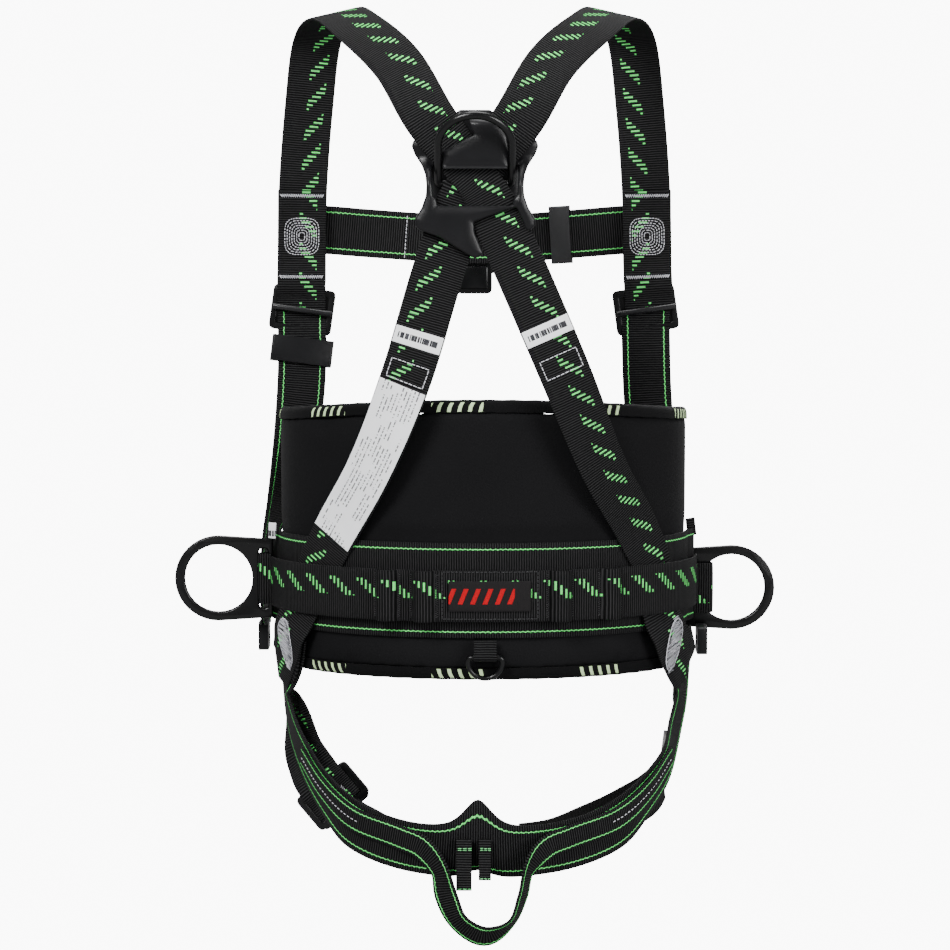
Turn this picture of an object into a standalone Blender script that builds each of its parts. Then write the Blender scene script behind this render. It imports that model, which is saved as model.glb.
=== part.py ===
"""Full-body climbing harness with a padded work-positioning belt, laid out as it is worn.

+X is the wearer's right, +Y points forward and +Z is up. The origin is the middle of the
lumbar pad's inner face, where the pad rests on the wearer's back. Units are metres.
"""

import bmesh
import bpy
import math
import numpy as np
from mathutils import Euler, Matrix, Vector

# Webbing
WEB_WIDTH = 0.045
WEB_THICK = 0.002
SEAT_LOOP_WIDTH = 0.022
LABEL_WIDTH = 0.043
LABEL_THICK = 0.0006
LABEL_OFF = 0.0019
ROW_LENGTH = 0.010

# The waist is an ellipse; every belt layer is set off from it
WAIST_HALF_WIDTH = 0.174
WAIST_HALF_DEPTH = 0.115
WAIST_CENTRE_Y = 0.115
PAD_THICK = 0.012
PAD_REACH = 92.0
PAD_TOP = 0.158
PAD_TOP_SIDE = 0.144
PAD_BOTTOM = -0.070
BINDING_HEIGHT = 0.010
BAND_OFFSET = 0.0134
BAND_HEIGHT = 0.084
BELT_OFFSET = 0.0216
BELT_Z = -0.004
HIP_OFFSETS = (0.0166, 0.0204, 0.0242)
# How far the middle line of the worn straps wanders sideways with height, on the back and the chest
SHIFT_HEIGHTS = (-0.222, -0.210, -0.170, -0.100, -0.050, 0.050, 0.105, 0.190, 0.275, 0.355)
BACK_SHIFTS = (0.0, 0.001, 0.003, 0.003, 0.0, 0.0, 0.003, 0.0025, -0.003, -0.008)
CHEST_SHIFTS = (0.0, 0.0, 0.0, 0.0, 0.0, -0.0015, -0.003, -0.0055, -0.008, -0.008)

# Dorsal plate and ring
BACK_X = -0.0075
DORSAL_AXIS = Vector((BACK_X, -0.022, 0.3554))
CROSSING_LIFT = 0.0034
LEFT_HIP_TURN = -2.5
DORSAL_WIRE = 0.0035
DORSAL_HALF_WIDTH = 0.0318
DORSAL_LEG = 0.0390
DORSAL_LEAN = math.radians(35)

# Side rings: a plate ring with a round hole, a web, a slot and a bar to hinge on
RING_HOLE_RADIUS = 0.031
RING_OUTER_RADIUS = 0.040
RING_TO_BAR = 0.0475
RING_THICK = 0.006
RING_BAR_HALF = 0.0022
RING_BARS = {"left": (-0.1948, 0.1000, -0.0025), "right": (0.1830, 0.1360, -0.0154)}
RING_SLOT = 0.0085

# Small rear ring
UTILITY_AXIS = Vector((0.0015, -0.0210, -0.0580))
UTILITY_WIRE = 0.0021
UTILITY_LOOP = 0.0034

# Buckles
BUCKLE_WIDTH = 0.058
BUCKLE_HEIGHT = 0.042
BUCKLE_THICK = 0.004
BUCKLE_RAIL = 0.006
PLATE_THICK = 0.003
PLATE_RAIL = 0.005
SLIDE_BAR_RADIUS = 0.0028
SLIDE_BAR_LENGTH = 0.055

COLOURS = {
    "black_webbing": ((0.010, 0.010, 0.011), 0.80, 0.0),
    "pad_cloth": ((0.012, 0.012, 0.013), 0.90, 0.0),
    "binding_tape": ((0.008, 0.008, 0.009), 0.75, 0.0),
    "black_plastic": ((0.018, 0.018, 0.020), 0.40, 0.0),
    "coated_metal": ((0.020, 0.020, 0.022), 0.30, 0.8),
    "white_label": ((0.75, 0.76, 0.80), 0.60, 0.0),
    "black_label": ((0.012, 0.012, 0.013), 0.70, 0.0),
}

for thing in list(bpy.data.objects):
    bpy.data.objects.remove(thing, do_unlink=True)
harness = bpy.data.collections.new("climbing_harness")
cutters = bpy.data.collections.new("cutters")
bpy.context.scene.collection.children.link(harness)
bpy.context.scene.collection.children.link(cutters)


def material(key, name):
    colour, roughness, metallic = COLOURS[key]
    made = bpy.data.materials.new(name + "_" + key)
    made.use_nodes = True
    shader = made.node_tree.nodes["Principled BSDF"]
    shader.inputs["Base Color"].default_value = (*colour, 1)
    shader.inputs["Roughness"].default_value = roughness
    shader.inputs["Metallic"].default_value = metallic
    return made


def add_part(name, data, key, place=None):
    part = bpy.data.objects.new(name, data)
    part.matrix_world = place or Matrix.Identity(4)
    data.materials.append(material(key, name))
    harness.objects.link(part)
    return part


def waist(angle, offset, z):
    """A point on the waist ellipse, set off outwards; the angle is from the back towards +X."""
    turn = math.radians(angle)
    across = (WAIST_HALF_WIDTH + offset) * math.sin(turn)
    along = (WAIST_HALF_DEPTH + offset) * math.cos(turn)
    return (across, WAIST_CENTRE_Y - along, z)


def waist_facing(angle):
    turn = math.radians(angle)
    facing = Vector((WAIST_HALF_DEPTH * math.sin(turn), -WAIST_HALF_WIDTH * math.cos(turn), 0))
    return tuple(facing.normalized())


def smooth(values, knots, at):
    """A smooth curve through the values, one at each knot, read at each of the given places."""
    values = np.array(values, float)
    slopes = np.gradient(values, knots, axis=0)
    first = np.clip(np.searchsorted(knots, at, side="right") - 1, 0, len(values) - 2)
    span = (knots[first + 1] - knots[first])[:, None]
    t = (at - knots[first])[:, None] / span
    a, b = values[first], values[first + 1]
    return (
        a * (2 * t**3 - 3 * t**2 + 1)
        + slopes[first] * span * (t**3 - 2 * t**2 + t)
        + b * (3 * t**2 - 2 * t**3)
        + slopes[first + 1] * span * (t**3 - t**2)
    )


def route_rows(stations, width, row):
    """Evenly spaced rows along a route: the middle, the side direction and the width."""
    points = np.array([station[0] for station in stations], float)
    facings = [station[1] for station in stations]
    widths = [[station[2] if len(station) > 2 else width] for station in stations]
    knots = np.concatenate([[0], np.cumsum(np.linalg.norm(np.diff(points, axis=0), axis=1))])
    rows = max(3, round(knots[-1] / row) + 1)
    at = np.linspace(0, knots[-1], rows)
    middle = smooth(points, knots, at)
    ahead = np.gradient(middle, axis=0)
    side = np.cross(ahead, smooth(facings, knots, at))
    side /= np.linalg.norm(side, axis=1)[:, None]
    return middle, side, smooth(widths, knots, at)


def strap(name, stations, width=WEB_WIDTH, thick=WEB_THICK, key="black_webbing", row=ROW_LENGTH):
    """A flat band along a route of stations: a point, the way its outer face looks, and its width."""
    middle, side, widths = route_rows(stations, width, row)
    shape = bmesh.new()
    bmesh.ops.create_grid(shape, x_segments=len(middle) - 1, y_segments=1, size=0.5)
    for vert in shape.verts:
        at = round((vert.co.x + 0.5) * (len(middle) - 1))
        vert.co = Vector(middle[at] + side[at] * widths[at, 0] * vert.co.y)
    data = bpy.data.meshes.new(name)
    shape.to_mesh(data)
    shape.free()
    band = add_part(name, data, key)
    shell = band.modifiers.new("thickness", "SOLIDIFY")
    shell.thickness = thick
    shell.offset = 0
    shell.use_even_offset = True
    return band


def waist_band(name, reach, offset, bottom, top, thick, key, segments=28, bulges=()):
    """A band round the waist. Its bottom and top edges are functions of the angle."""
    shape = bmesh.new()
    bmesh.ops.create_grid(shape, x_segments=segments, y_segments=3, size=0.5)
    start, end = reach
    for vert in shape.verts:
        angle = start + (end - start) * (vert.co.x + 0.5)
        z = bottom(angle) + (top(angle) - bottom(angle)) * (vert.co.y + 0.5)
        vert.co = waist(angle, offset + bulge_height(angle, bulges), z)
    data = bpy.data.meshes.new(name)
    shape.to_mesh(data)
    shape.free()
    band = add_part(name, data, key)
    shell = band.modifiers.new("thickness", "SOLIDIFY")
    shell.thickness = thick
    shell.offset = 0
    shell.use_even_offset = True
    return band


def bulge_height(angle, bulges):
    """How far a tool loop stands out at this angle."""
    height = 0
    for middle in bulges:
        if abs(angle - middle) < TOOL_LOOP_HALF:
            height = TOOL_LOOP_RISE * math.sqrt(1 - ((angle - middle) / TOOL_LOOP_HALF) ** 2)
    return height


def pad_top(angle):
    return PAD_TOP_SIDE + (PAD_TOP - PAD_TOP_SIDE) * math.cos(math.radians(angle * 0.9)) ** 2


def outline_spline(curve, corners, rounding=0.0, steps=3):
    """A closed flat outline with its corners rounded by arcs."""
    corners = [Vector(corner) for corner in corners]
    points = []
    for index, corner in enumerate(corners):
        before = corners[index - 1] - corner
        after = corners[(index + 1) % len(corners)] - corner
        if rounding <= 0:
            points.append(corner)
            continue
        cut = min(rounding, 0.45 * before.length, 0.45 * after.length)
        a = corner + before.normalized() * cut
        b = corner + after.normalized() * cut
        for step in range(steps + 1):
            t = step / steps
            points.append(a * (1 - t) ** 2 + corner * 2 * t * (1 - t) + b * t**2)
    spline = curve.splines.new("POLY")
    spline.points.add(len(points) - 1)
    for point, at in zip(spline.points, points):
        point.co = (at.x, at.y, 0, 1)
    spline.use_cyclic_u = True


def circle_spline(curve, centre, radius, steps=32):
    spline = curve.splines.new("POLY")
    spline.points.add(steps - 1)
    for step, point in enumerate(spline.points):
        turn = 2 * math.pi * step / steps
        point.co = (centre[0] + radius * math.cos(turn), centre[1] + radius * math.sin(turn), 0, 1)
    spline.use_cyclic_u = True


def flat_curve(name, thick, edge=0.0):
    curve = bpy.data.curves.new(name, "CURVE")
    curve.dimensions = "2D"
    curve.fill_mode = "BOTH"
    curve.extrude = thick / 2 - edge
    curve.bevel_depth = edge
    curve.bevel_resolution = 1
    curve.offset = -edge
    return curve


def upright(place, turn=0.0, roll=0.0):
    """A placement that stands a flat outline up: its x runs along +X and its y along +Z."""
    return Matrix.Translation(place) @ Euler((math.pi / 2, roll, turn), "XYZ").to_matrix().to_4x4()


def rectangle(x0, y0, x1, y1):
    return [(x0, y0), (x1, y0), (x1, y1), (x0, y1)]


def wire_ring(name, points, radius, key, place):
    """A closed ring bent from round wire."""
    curve = bpy.data.curves.new(name, "CURVE")
    curve.dimensions = "3D"
    curve.bevel_depth = radius
    curve.bevel_resolution = 3
    spline = curve.splines.new("POLY")
    spline.points.add(len(points) - 1)
    for point, at in zip(spline.points, points):
        point.co = (*at, 1)
    spline.use_cyclic_u = True
    return add_part(name, curve, key, place)


def d_points(half_width, leg):
    """A letter D lying in its own x-z plane: a straight bar on the x axis and an arch above it."""
    corner = 0.004
    points = [(-half_width + corner, 0, 0), (half_width - corner, 0, 0)]
    for step in range(1, 4):
        turn = math.radians(-90 + 90 * step / 4)
        points.append((half_width - corner + corner * math.cos(turn), 0, corner + corner * math.sin(turn)))
    points.append((half_width, 0, corner))
    for step in range(13):
        turn = math.pi * step / 12
        points.append((half_width * math.cos(turn), 0, leg + half_width * math.sin(turn)))
    points.append((-half_width, 0, corner))
    for step in range(1, 4):
        turn = math.radians(180 + 90 * step / 4)
        points.append((-half_width + corner + corner * math.cos(turn), 0, corner + corner * math.sin(turn)))
    return points


# ---- the belt group


def build_pad():
    waist_band(
        "lumbar_pad", (-PAD_REACH, PAD_REACH), PAD_THICK / 2,
        lambda angle: PAD_BOTTOM, pad_top, PAD_THICK, "pad_cloth", 32,
    )
    for name, edge, sign in (("binding_top", pad_top, 1), ("binding_bottom", lambda a: PAD_BOTTOM, -1)):
        near = lambda angle, edge=edge, sign=sign: edge(angle) + sign * 0.0004
        far = lambda angle, near=near, sign=sign: near(angle) + sign * BINDING_HEIGHT
        low, high = (near, far) if sign > 0 else (far, near)
        waist_band(
            name, (-PAD_REACH, PAD_REACH), PAD_THICK / 2, low, high, PAD_THICK - 0.002,
            "binding_tape", 32,
        )


TOOL_LOOP_ANGLES = (-25.5, -15.4, 20.0, 34.6)
TOOL_LOOP_HALF = 2.8
TOOL_LOOP_RISE = 0.009
BELT_REACH = (-80.5, 90.0)


def build_belt():
    waist_band(
        "lumbar_band", (-PAD_REACH, PAD_REACH), BAND_OFFSET,
        lambda angle: -BAND_HEIGHT / 2, lambda angle: BAND_HEIGHT / 2, WEB_THICK, "black_webbing", 32,
    )
    half = WEB_WIDTH / 2
    waist_band(
        "waist_belt", BELT_REACH, BELT_OFFSET,
        lambda angle: BELT_Z - half, lambda angle: BELT_Z + half, WEB_THICK, "black_webbing", 130,
        TOOL_LOOP_ANGLES,
    )
    waist_band(
        "name_patch", (-8.9, 12.1), BELT_OFFSET + 0.0024,
        lambda angle: BELT_Z - 0.013, lambda angle: BELT_Z + 0.0135, 0.0014, "black_label", 20,
    )


def build_front_belt():
    """The two ends of the waist belt, closed at the front by a frame and a plate pushed through it."""
    half = WEB_WIDTH / 2
    for name, reach in (("belt_end_left", (-170.5, -101.0)), ("belt_end_right", (107.0, 170.5))):
        waist_band(
            name, reach, 0.004,
            lambda angle: BELT_Z - half, lambda angle: BELT_Z + half, WEB_THICK, "black_webbing", 20,
        )


# ---- the webbing routes: point, the way the outer face looks, and the width where it narrows


def other_side(stations):
    """The same route on the wearer's other side of the worn middle line."""
    turned = []
    for (x, y, z), (nx, ny, nz), *rest in stations:
        shifts = CHEST_SHIFTS if y > WAIST_CENTRE_Y else BACK_SHIFTS
        middle = np.interp(z, SHIFT_HEIGHTS, shifts)
        turned.append(((2 * middle - x, y, z), (-nx, ny, nz), *rest))
    return turned


def shoulder_route(lift, hip_turn=0.0):
    """From the wearer's left chest over the shoulder and through the dorsal plate to the right hip."""
    hip_steps = ((0.045, 47), (0.020, 52), (-0.005, 57), (-0.030, 62), (-0.052, 67), (-0.066, 70))
    right_hip = []
    for z, angle in hip_steps:
        angle += hip_turn * (z + 0.066) / 0.111
        right_hip.append((waist(angle, HIP_OFFSETS[0], z), waist_facing(angle)))
    return [
        ((-0.1690, 0.1700, 0.266), (0, 1, 0)),
        ((-0.1680, 0.1730, 0.345), (0, 1, 0)),
        ((-0.1620, 0.1810, 0.430), (-0.05, 1, 0.05)),
        ((-0.1550, 0.1690, 0.4830), (-0.15, 0.85, 0.5)),
        ((-0.1330, 0.0950, 0.5100), (-0.26, 0, 1)),
        ((-0.1110, 0.0420, 0.4950), (-0.15, -0.6, 0.8)),
        ((-0.0747, 0.0010, 0.4600), (0, -0.9, 0.4), 0.045),
        ((-0.0437, -0.0235 - lift * 0.6, 0.4080), (0, -1, 0.1), 0.040),
        ((-0.0270, -0.0255 - lift, 0.3860), (0, -1, 0), 0.033),
        ((-0.0125, -0.0268 - lift, 0.3670), (0, -1, 0), 0.0285),
        ((-0.0010, -0.0274 - lift, 0.3520), (0, -1, 0), 0.028),
        ((0.0085, -0.0276 - lift, 0.3340), (0, -1, 0), 0.028),
        ((0.0145, -0.0278 - lift, 0.3200), (0, -1, 0), 0.028),
        ((0.0240, -0.0285 - lift, 0.3000), (0, -1, 0), 0.040),
        ((0.0355, -0.0295 - lift, 0.2740), (0, -1, 0), 0.045),
        ((0.0713, -0.0290 - lift / 2, 0.1910), (0.15, -1, 0)),
        ((0.1070, -0.0080, 0.1050), (0.5, -1, 0)),
        *right_hip,
    ]


def build_crossing_straps():
    strap("crossing_strap_left", shoulder_route(CROSSING_LIFT))
    strap("crossing_strap_right", other_side(shoulder_route(0.0, LEFT_HIP_TURN)))


def build_front_straps():
    doubled = [
        ((-0.1682, 0.1704, 0.352), (0, 1, 0)),
        ((-0.1686, 0.1690, 0.310), (0, 1, 0)),
        ((-0.1690, 0.1676, 0.266), (0, 1, 0)),
    ]
    lower_left = [
        ((-0.1680, 0.1642, 0.2160), (-0.1, 1, 0)),
        ((-0.1690, 0.1560, 0.175), (-0.2, 1, 0)),
        ((-0.1770, 0.1480, 0.110), (-0.6, 0.8, 0)),
        ((-0.1905, 0.1450, 0.060), (-1, 0.45, 0)),
        ((-0.2000, 0.1400, 0.020), (-1, 0.2, 0)),
        ((-0.2020, 0.1380, -0.010), (-1, 0.15, 0)),
        ((-0.2020, 0.1340, -0.042), (-1, 0.1, 0)),
    ]
    lower_right = [
        ((0.1515, 0.1642, 0.2160), (0.1, 1, 0)),
        ((0.1530, 0.1620, 0.170), (0.15, 1, 0)),
        ((0.1580, 0.1650, 0.110), (0.3, 1, 0)),
        *[(waist(angle, 0.0120, z), waist_facing(angle)) for z, angle in ((0.055, 118), (0.0, 116), (-0.040, 114))],
    ]
    for side, doubled_route, lower in (
        ("left", doubled, lower_left), ("right", other_side(doubled), lower_right),
    ):
        strap("front_strap_" + side, doubled_route)
        strap("front_belt_" + side, lower)


CHEST_HALF = [
    ((-0.1660, 0.1765, 0.3160), (0, 1, 0)),
    ((-0.1450, 0.1790, 0.3150), (-0.1, 1, 0)),
    ((-0.1150, 0.1870, 0.3125), (-0.22, 1, 0)),
    ((-0.0650, 0.1995, 0.3085), (-0.22, 1, 0)),
    ((-0.0300, 0.2040, 0.3060), (0, 1, 0)),
]


def build_chest_strap():
    strap("chest_strap_left", CHEST_HALF[:-1] + [((-0.0280, 0.2040, 0.3060), (0, 1, 0))])
    strap("chest_strap_right", other_side(CHEST_HALF))


def hip_stack(layer):
    """Where a strap leaves the hip: on its own layer of the sewn stack, below the belt."""
    return [(waist(-angle, HIP_OFFSETS[layer], z), waist_facing(-angle)) for z, angle in ((-0.050, 69), (-0.072, 70))]


LEG_LEFT = [
    *hip_stack(1),
    ((-0.1800, 0.0800, -0.094), (-1, -0.3, 0)),
    ((-0.1690, 0.0780, -0.130), (-0.9, -0.6, 0)),
    ((-0.1640, 0.0680, -0.157), (-0.6, -0.9, 0)),
    ((-0.1525, 0.0590, -0.176), (-0.2, -1, 0)),
]
LEG_RIGHT = [
    *other_side(hip_stack(1)),
    ((0.1820, 0.0830, -0.096), (1, -0.3, 0)),
    ((0.1770, 0.0960, -0.120), (1, 0, 0)),
    ((0.1750, 0.0990, -0.134), (1, 0.1, 0)),
]
LEG_INNER_LEFT = [
    ((-0.1160, 0.0545, -0.2208), (-0.1, -1, 0)),
    ((-0.1040, 0.0400, -0.2220), (-0.1, -1, -0.2)),
    ((-0.0780, 0.0080, -0.2270), (-0.1, -1, -0.3)),
    ((-0.0480, -0.0300, -0.2260), (-0.1, -1, -0.3)),
    ((-0.0250, -0.0560, -0.2220), (-0.1, -1, -0.15)),
]
LEG_INNER_RIGHT = [
    ((0.1650, 0.0930, -0.1885), (1, -0.3, 0)),
    ((0.1560, 0.0820, -0.1960), (0.7, -0.7, -0.1)),
    ((0.1250, 0.0480, -0.2080), (0.4, -1, -0.2)),
    ((0.0850, 0.0060, -0.2160), (0.3, -1, -0.3)),
    ((0.0500, -0.0330, -0.2200), (0.1, -1, -0.3)),
    ((0.0280, -0.0560, -0.2200), (0.1, -1, -0.15)),
]
SEAT_HALF = [
    *hip_stack(2),
    ((-0.1816, 0.0735, -0.104), (-1, -0.18, 0), 0.038),
    ((-0.1728, 0.0570, -0.134), (-0.95, -0.25, -0.1), 0.041),
    ((-0.1590, 0.0310, -0.161), (-0.9, -0.45, -0.2)),
    ((-0.1400, -0.0020, -0.184), (-0.7, -0.68, -0.25)),
    ((-0.1130, -0.0370, -0.2040), (-0.4, -0.93, -0.15)),
    ((-0.0720, -0.0610, -0.2160), (-0.2, -1, -0.15)),
    ((-0.0360, -0.0685, -0.2205), (0, -1, -0.15)),
]
SEAT_MIDDLE = [((0, -0.0700, -0.2220), (0, -1, -0.15))]
LOOP_OFF = 0.0050
LOOP_RISE = 0.008


def sewn_outside(stations):
    """The same stations one layer further out and a little higher, for webbing sewn on."""
    laid = []
    for at, facing, *_ in stations:
        off = Vector(facing).normalized() * LOOP_OFF
        laid.append((tuple(Vector(at) + off + Vector((0, 0, LOOP_RISE))), facing))
    return laid


SEAT_LOOP_HALF = [
    *sewn_outside(SEAT_HALF[4:8]),
    ((-0.0540, -0.0770, -0.2150), (-0.4, -1, -0.1)),
    ((-0.0410, -0.0845, -0.2330), (-1, -0.4, 0)),
    ((-0.0350, -0.0850, -0.2560), (-1, 0, 0)),
    ((-0.0250, -0.0850, -0.2790), (-0.9, 0, -0.5)),
]


def build_leg_straps():
    strap("leg_strap_left", LEG_LEFT)
    strap("leg_strap_right", LEG_RIGHT)
    strap("leg_strap_inner_left", LEG_INNER_LEFT)
    strap("leg_strap_inner_right", LEG_INNER_RIGHT)
    strap("sub_pelvic_strap", SEAT_HALF + SEAT_MIDDLE + other_side(SEAT_HALF)[::-1])
    loop_middle = [((0.0010, -0.0850, -0.2925), (0, 0, -1))]
    strap(
        "seat_loop", SEAT_LOOP_HALF + loop_middle + other_side(SEAT_LOOP_HALF)[::-1], SEAT_LOOP_WIDTH
    )
    for side, x, z, width in (("left", -0.0171, -0.2520, 0.013), ("right", 0.0010, -0.2430, 0.010)):
        hanging = [((x, -0.0760, -0.2080), (0, -1, 0)), ((x, -0.0790, -0.2300), (0, -1, 0)), ((x, -0.0810, z), (0, -1, 0))]
        strap("strap_end_" + side, hanging, width, 0.0045)


# ---- labels


def laid_on(stations, high, low):
    """The stretch of a route between two heights on the wearer's back, one label's gap outside it."""
    middle, side, _ = route_rows(stations, WEB_WIDTH, ROW_LENGTH / 2)
    ahead = np.gradient(middle, axis=0)
    laid = []
    for at, across, along in zip(middle, side, ahead):
        if low <= at[2] <= high and at[1] < 0.08:
            facing = Vector(across).cross(Vector(along)).normalized()
            laid.append((tuple(Vector(at) + facing * LABEL_OFF), tuple(facing)))
    return laid


def build_labels():
    """The labels lie on the outer face of the lower crossing straps."""
    left = other_side(shoulder_route(0.0, LEFT_HIP_TURN))
    right = shoulder_route(CROSSING_LIFT)
    for name, route, high, low in (
        ("indicator_label_left", left, 0.2290, 0.2110),
        ("indicator_label_right", right, 0.2370, 0.2190),
        ("identity_label", left, 0.1850, 0.0400),
    ):
        strap(name, laid_on(route, high, low), LABEL_WIDTH, LABEL_THICK, "white_label")


# ---- hardware


def plate_outline():
    """The X of the dorsal plate, from its own middle, as half an outline mirrored to the other side."""
    right = [
        (0.013, 0.0642), (0.030, 0.052), (0.0545, 0.036), (0.0525, 0.026),
        (0.043, 0.008), (0.0425, -0.010), (0.0520, -0.030), (0.0500, -0.0385), (0.030, -0.046), (0.0, -0.0566),
    ]
    return right + [(-x, y) for x, y in right[-2::-1]]


def as_mesh(part):
    """The same part with its curve made into a welded mesh, which Boolean modifiers can take."""
    bpy.context.view_layer.update()
    graph = bpy.context.evaluated_depsgraph_get()
    data = bpy.data.meshes.new_from_object(part.evaluated_get(graph))
    shape = bmesh.new()
    shape.from_mesh(data)
    bmesh.ops.remove_doubles(shape, verts=shape.verts, dist=0.00001)
    shape.to_mesh(data)
    shape.free()
    name, place, collection = part.name, part.matrix_world.copy(), part.users_collection[0]
    bpy.data.objects.remove(part, do_unlink=True)
    solid = bpy.data.objects.new(name, data)
    solid.matrix_world = place
    collection.objects.link(solid)
    return solid


def extruded(name, outlines, thick, key, place, rounding=0.0, holes=(), edge=0.0):
    curve = flat_curve(name, thick, edge)
    for outline in outlines:
        outline_spline(curve, outline, rounding)
    for centre, radius in holes:
        circle_spline(curve, centre, radius)
    return add_part(name, curve, key, place)


def join_solids(target, *others):
    """Adds the other solids to the target by Boolean union; they become hidden tools."""
    for other in others:
        harness.objects.unlink(other)
        cutters.objects.link(other)
        other.hide_render = True
        other.display_type = "WIRE"
        union = target.modifiers.new("join_" + other.name, "BOOLEAN")
        union.operation = "UNION"
        union.solver = "EXACT"
        union.object = other


FRAME_BACK = -0.0165
FRAME_THICK = 0.0030
BRIDGE_Y = -0.0352
BRIDGE_THICK = 0.0035


def build_dorsal():
    centre_z = DORSAL_AXIS.z
    rear = extruded(
        "dorsal_plate", [plate_outline(), rectangle(-0.037, -0.020, 0.037, 0.0165)], FRAME_THICK,
        "black_plastic", upright((BACK_X, FRAME_BACK - FRAME_THICK / 2, centre_z)), 0.006,
    )
    rear = as_mesh(rear)
    tongue = extruded(
        "plate_tongue",
        [[(-0.023, 0.0130), (0.023, 0.0130), (0.0225, 0.036), (0.0150, 0.0640), (-0.0150, 0.0640), (-0.0225, 0.036)]],
        BRIDGE_THICK, "black_plastic", upright((BACK_X, BRIDGE_Y, centre_z)), 0.003,
    )
    bridge = extruded(
        "plate_bridge", [[(-0.0425, -0.0180), (0.0425, -0.0180), (0.0445, -0.0350), (0.0, -0.0500), (-0.0445, -0.0350)]],
        BRIDGE_THICK, "black_plastic", upright((BACK_X, BRIDGE_Y, centre_z)), 0.003,
    )
    depth = FRAME_BACK - (BRIDGE_Y - BRIDGE_THICK / 2) - 0.001
    middle = (FRAME_BACK + BRIDGE_Y - BRIDGE_THICK / 2) / 2
    posts = []
    for index, (x0, y0, x1, y1) in enumerate((
        (-0.0060, 0.0530, 0.0060, 0.0630),
        (-0.0430, -0.0300, -0.0390, -0.0190),
        (0.0390, -0.0300, 0.0430, -0.0190),
    )):
        posts.append(extruded(
            f"plate_post_{index}", [rectangle(x0, y0, x1, y1)], depth, "black_plastic",
            upright((BACK_X, middle, centre_z)),
        ))
    join_solids(rear, *[as_mesh(piece) for piece in (tongue, bridge, *posts)])
    place = Matrix.Translation(DORSAL_AXIS) @ Euler((DORSAL_LEAN, 0, 0)).to_matrix().to_4x4()
    wire_ring(
        "dorsal_d_ring", d_points(DORSAL_HALF_WIDTH, DORSAL_LEG), DORSAL_WIRE, "coated_metal", place
    )


def side_ring_outline(sign):
    """A round-nosed outline from the bar, at x 0, to the nose of the ring."""
    arms = []
    for step in range(21):
        turn = math.radians(90 - 180 * step / 20)
        arms.append((
            sign * (RING_TO_BAR + RING_OUTER_RADIUS * math.cos(turn)),
            RING_OUTER_RADIUS * math.sin(turn) * 0.98,
        ))
    foot = RING_OUTER_RADIUS - 0.004
    return arms + [(-sign * RING_BAR_HALF, -foot), (-sign * RING_BAR_HALF, foot)]


def build_side_rings():
    for side, sign in (("left", -1), ("right", 1)):
        bar = RING_BARS[side]
        curve = flat_curve("side_d_ring_" + side, RING_THICK, 0.0012)
        outline_spline(curve, side_ring_outline(sign))
        circle_spline(curve, (sign * RING_TO_BAR, 0), RING_HOLE_RADIUS)
        near, far = sign * RING_BAR_HALF, sign * (RING_BAR_HALF + RING_SLOT)
        outline_spline(curve, rectangle(near, -0.0275, far, 0.0275), 0.003, 2)
        add_part("side_d_ring_" + side, curve, "coated_metal", upright(bar))
    build_ring_tab("left", -1, -0.0006, 0.0062, 0.0)
    build_ring_tab("right", 1, 0.0230, 0.0070, 0.0150)


def build_ring_tab(side, sign, nose, reach, tail):
    """Webbing folded through a side ring: round its bar on the left, round its web on the right."""
    x, y, z = RING_BARS[side]
    fold = []
    if tail:
        fold.append(((x + sign * (nose - tail), y - reach, z), (0, -1, 0)))
    for step in range(9):
        angle = math.radians(-90 + 180 * step / 8)
        out = (sign * math.cos(angle), math.sin(angle), 0)
        fold.append(((x + sign * nose + reach * out[0], y + reach * out[1], z), out))
    if tail:
        fold.append(((x + sign * (nose - tail), y + reach, z), (0, 1, 0)))
    strap("ring_tab_" + side, fold, 0.045, 0.0016, row=0.0025)


def build_utility_ring():
    points = d_points(0.0152, 0.004)
    place = Matrix.Translation(UTILITY_AXIS) @ Euler((math.radians(180 + 8), 0, 0)).to_matrix().to_4x4()
    wire_ring("utility_d_ring", points, UTILITY_WIRE, "coated_metal", place)
    x, y, z = UTILITY_AXIS
    around = [((x, y + UTILITY_LOOP, z + rise), (0, 1, 0)) for rise in (0.015, 0.010, 0.005)]
    for step in range(7):
        turn = math.pi * step / 6
        out = Vector((0, math.cos(turn), -math.sin(turn)))
        around.append((tuple(UTILITY_AXIS + out * UTILITY_LOOP), tuple(out)))
    around += [((x, y - UTILITY_LOOP, z + rise), (0, -1, 0)) for rise in (0.005, 0.010, 0.015)]
    strap("utility_ring_tab", around, 0.020, 0.0012, row=0.0018)


def buckle_frame(name, place, width=BUCKLE_WIDTH, height=BUCKLE_HEIGHT, opening=WEB_WIDTH + 0.002):
    """A flat frame with one opening. The webbing turns on the rails along its local x axis."""
    curve = flat_curve(name, BUCKLE_THICK)
    outline_spline(curve, rectangle(-width / 2, -height / 2, width / 2, height / 2), 0.005)
    inner = height / 2 - BUCKLE_RAIL
    outline_spline(curve, rectangle(-opening / 2, -inner, opening / 2, inner), 0.002)
    return add_part(name, curve, "coated_metal", place)


def buckle_plate(name, place, width=0.052, height=0.030):
    """The plate pushed through a frame. Its strap turns on the rail on its local x axis."""
    curve = flat_curve(name, PLATE_THICK)
    outline_spline(curve, rectangle(-width / 2, -PLATE_RAIL / 2, width / 2, height), 0.004)
    outline_spline(curve, rectangle(-0.0215, PLATE_RAIL / 2, 0.0215, PLATE_RAIL / 2 + 0.006), 0.002)
    return add_part(name, curve, "coated_metal", place)


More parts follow.
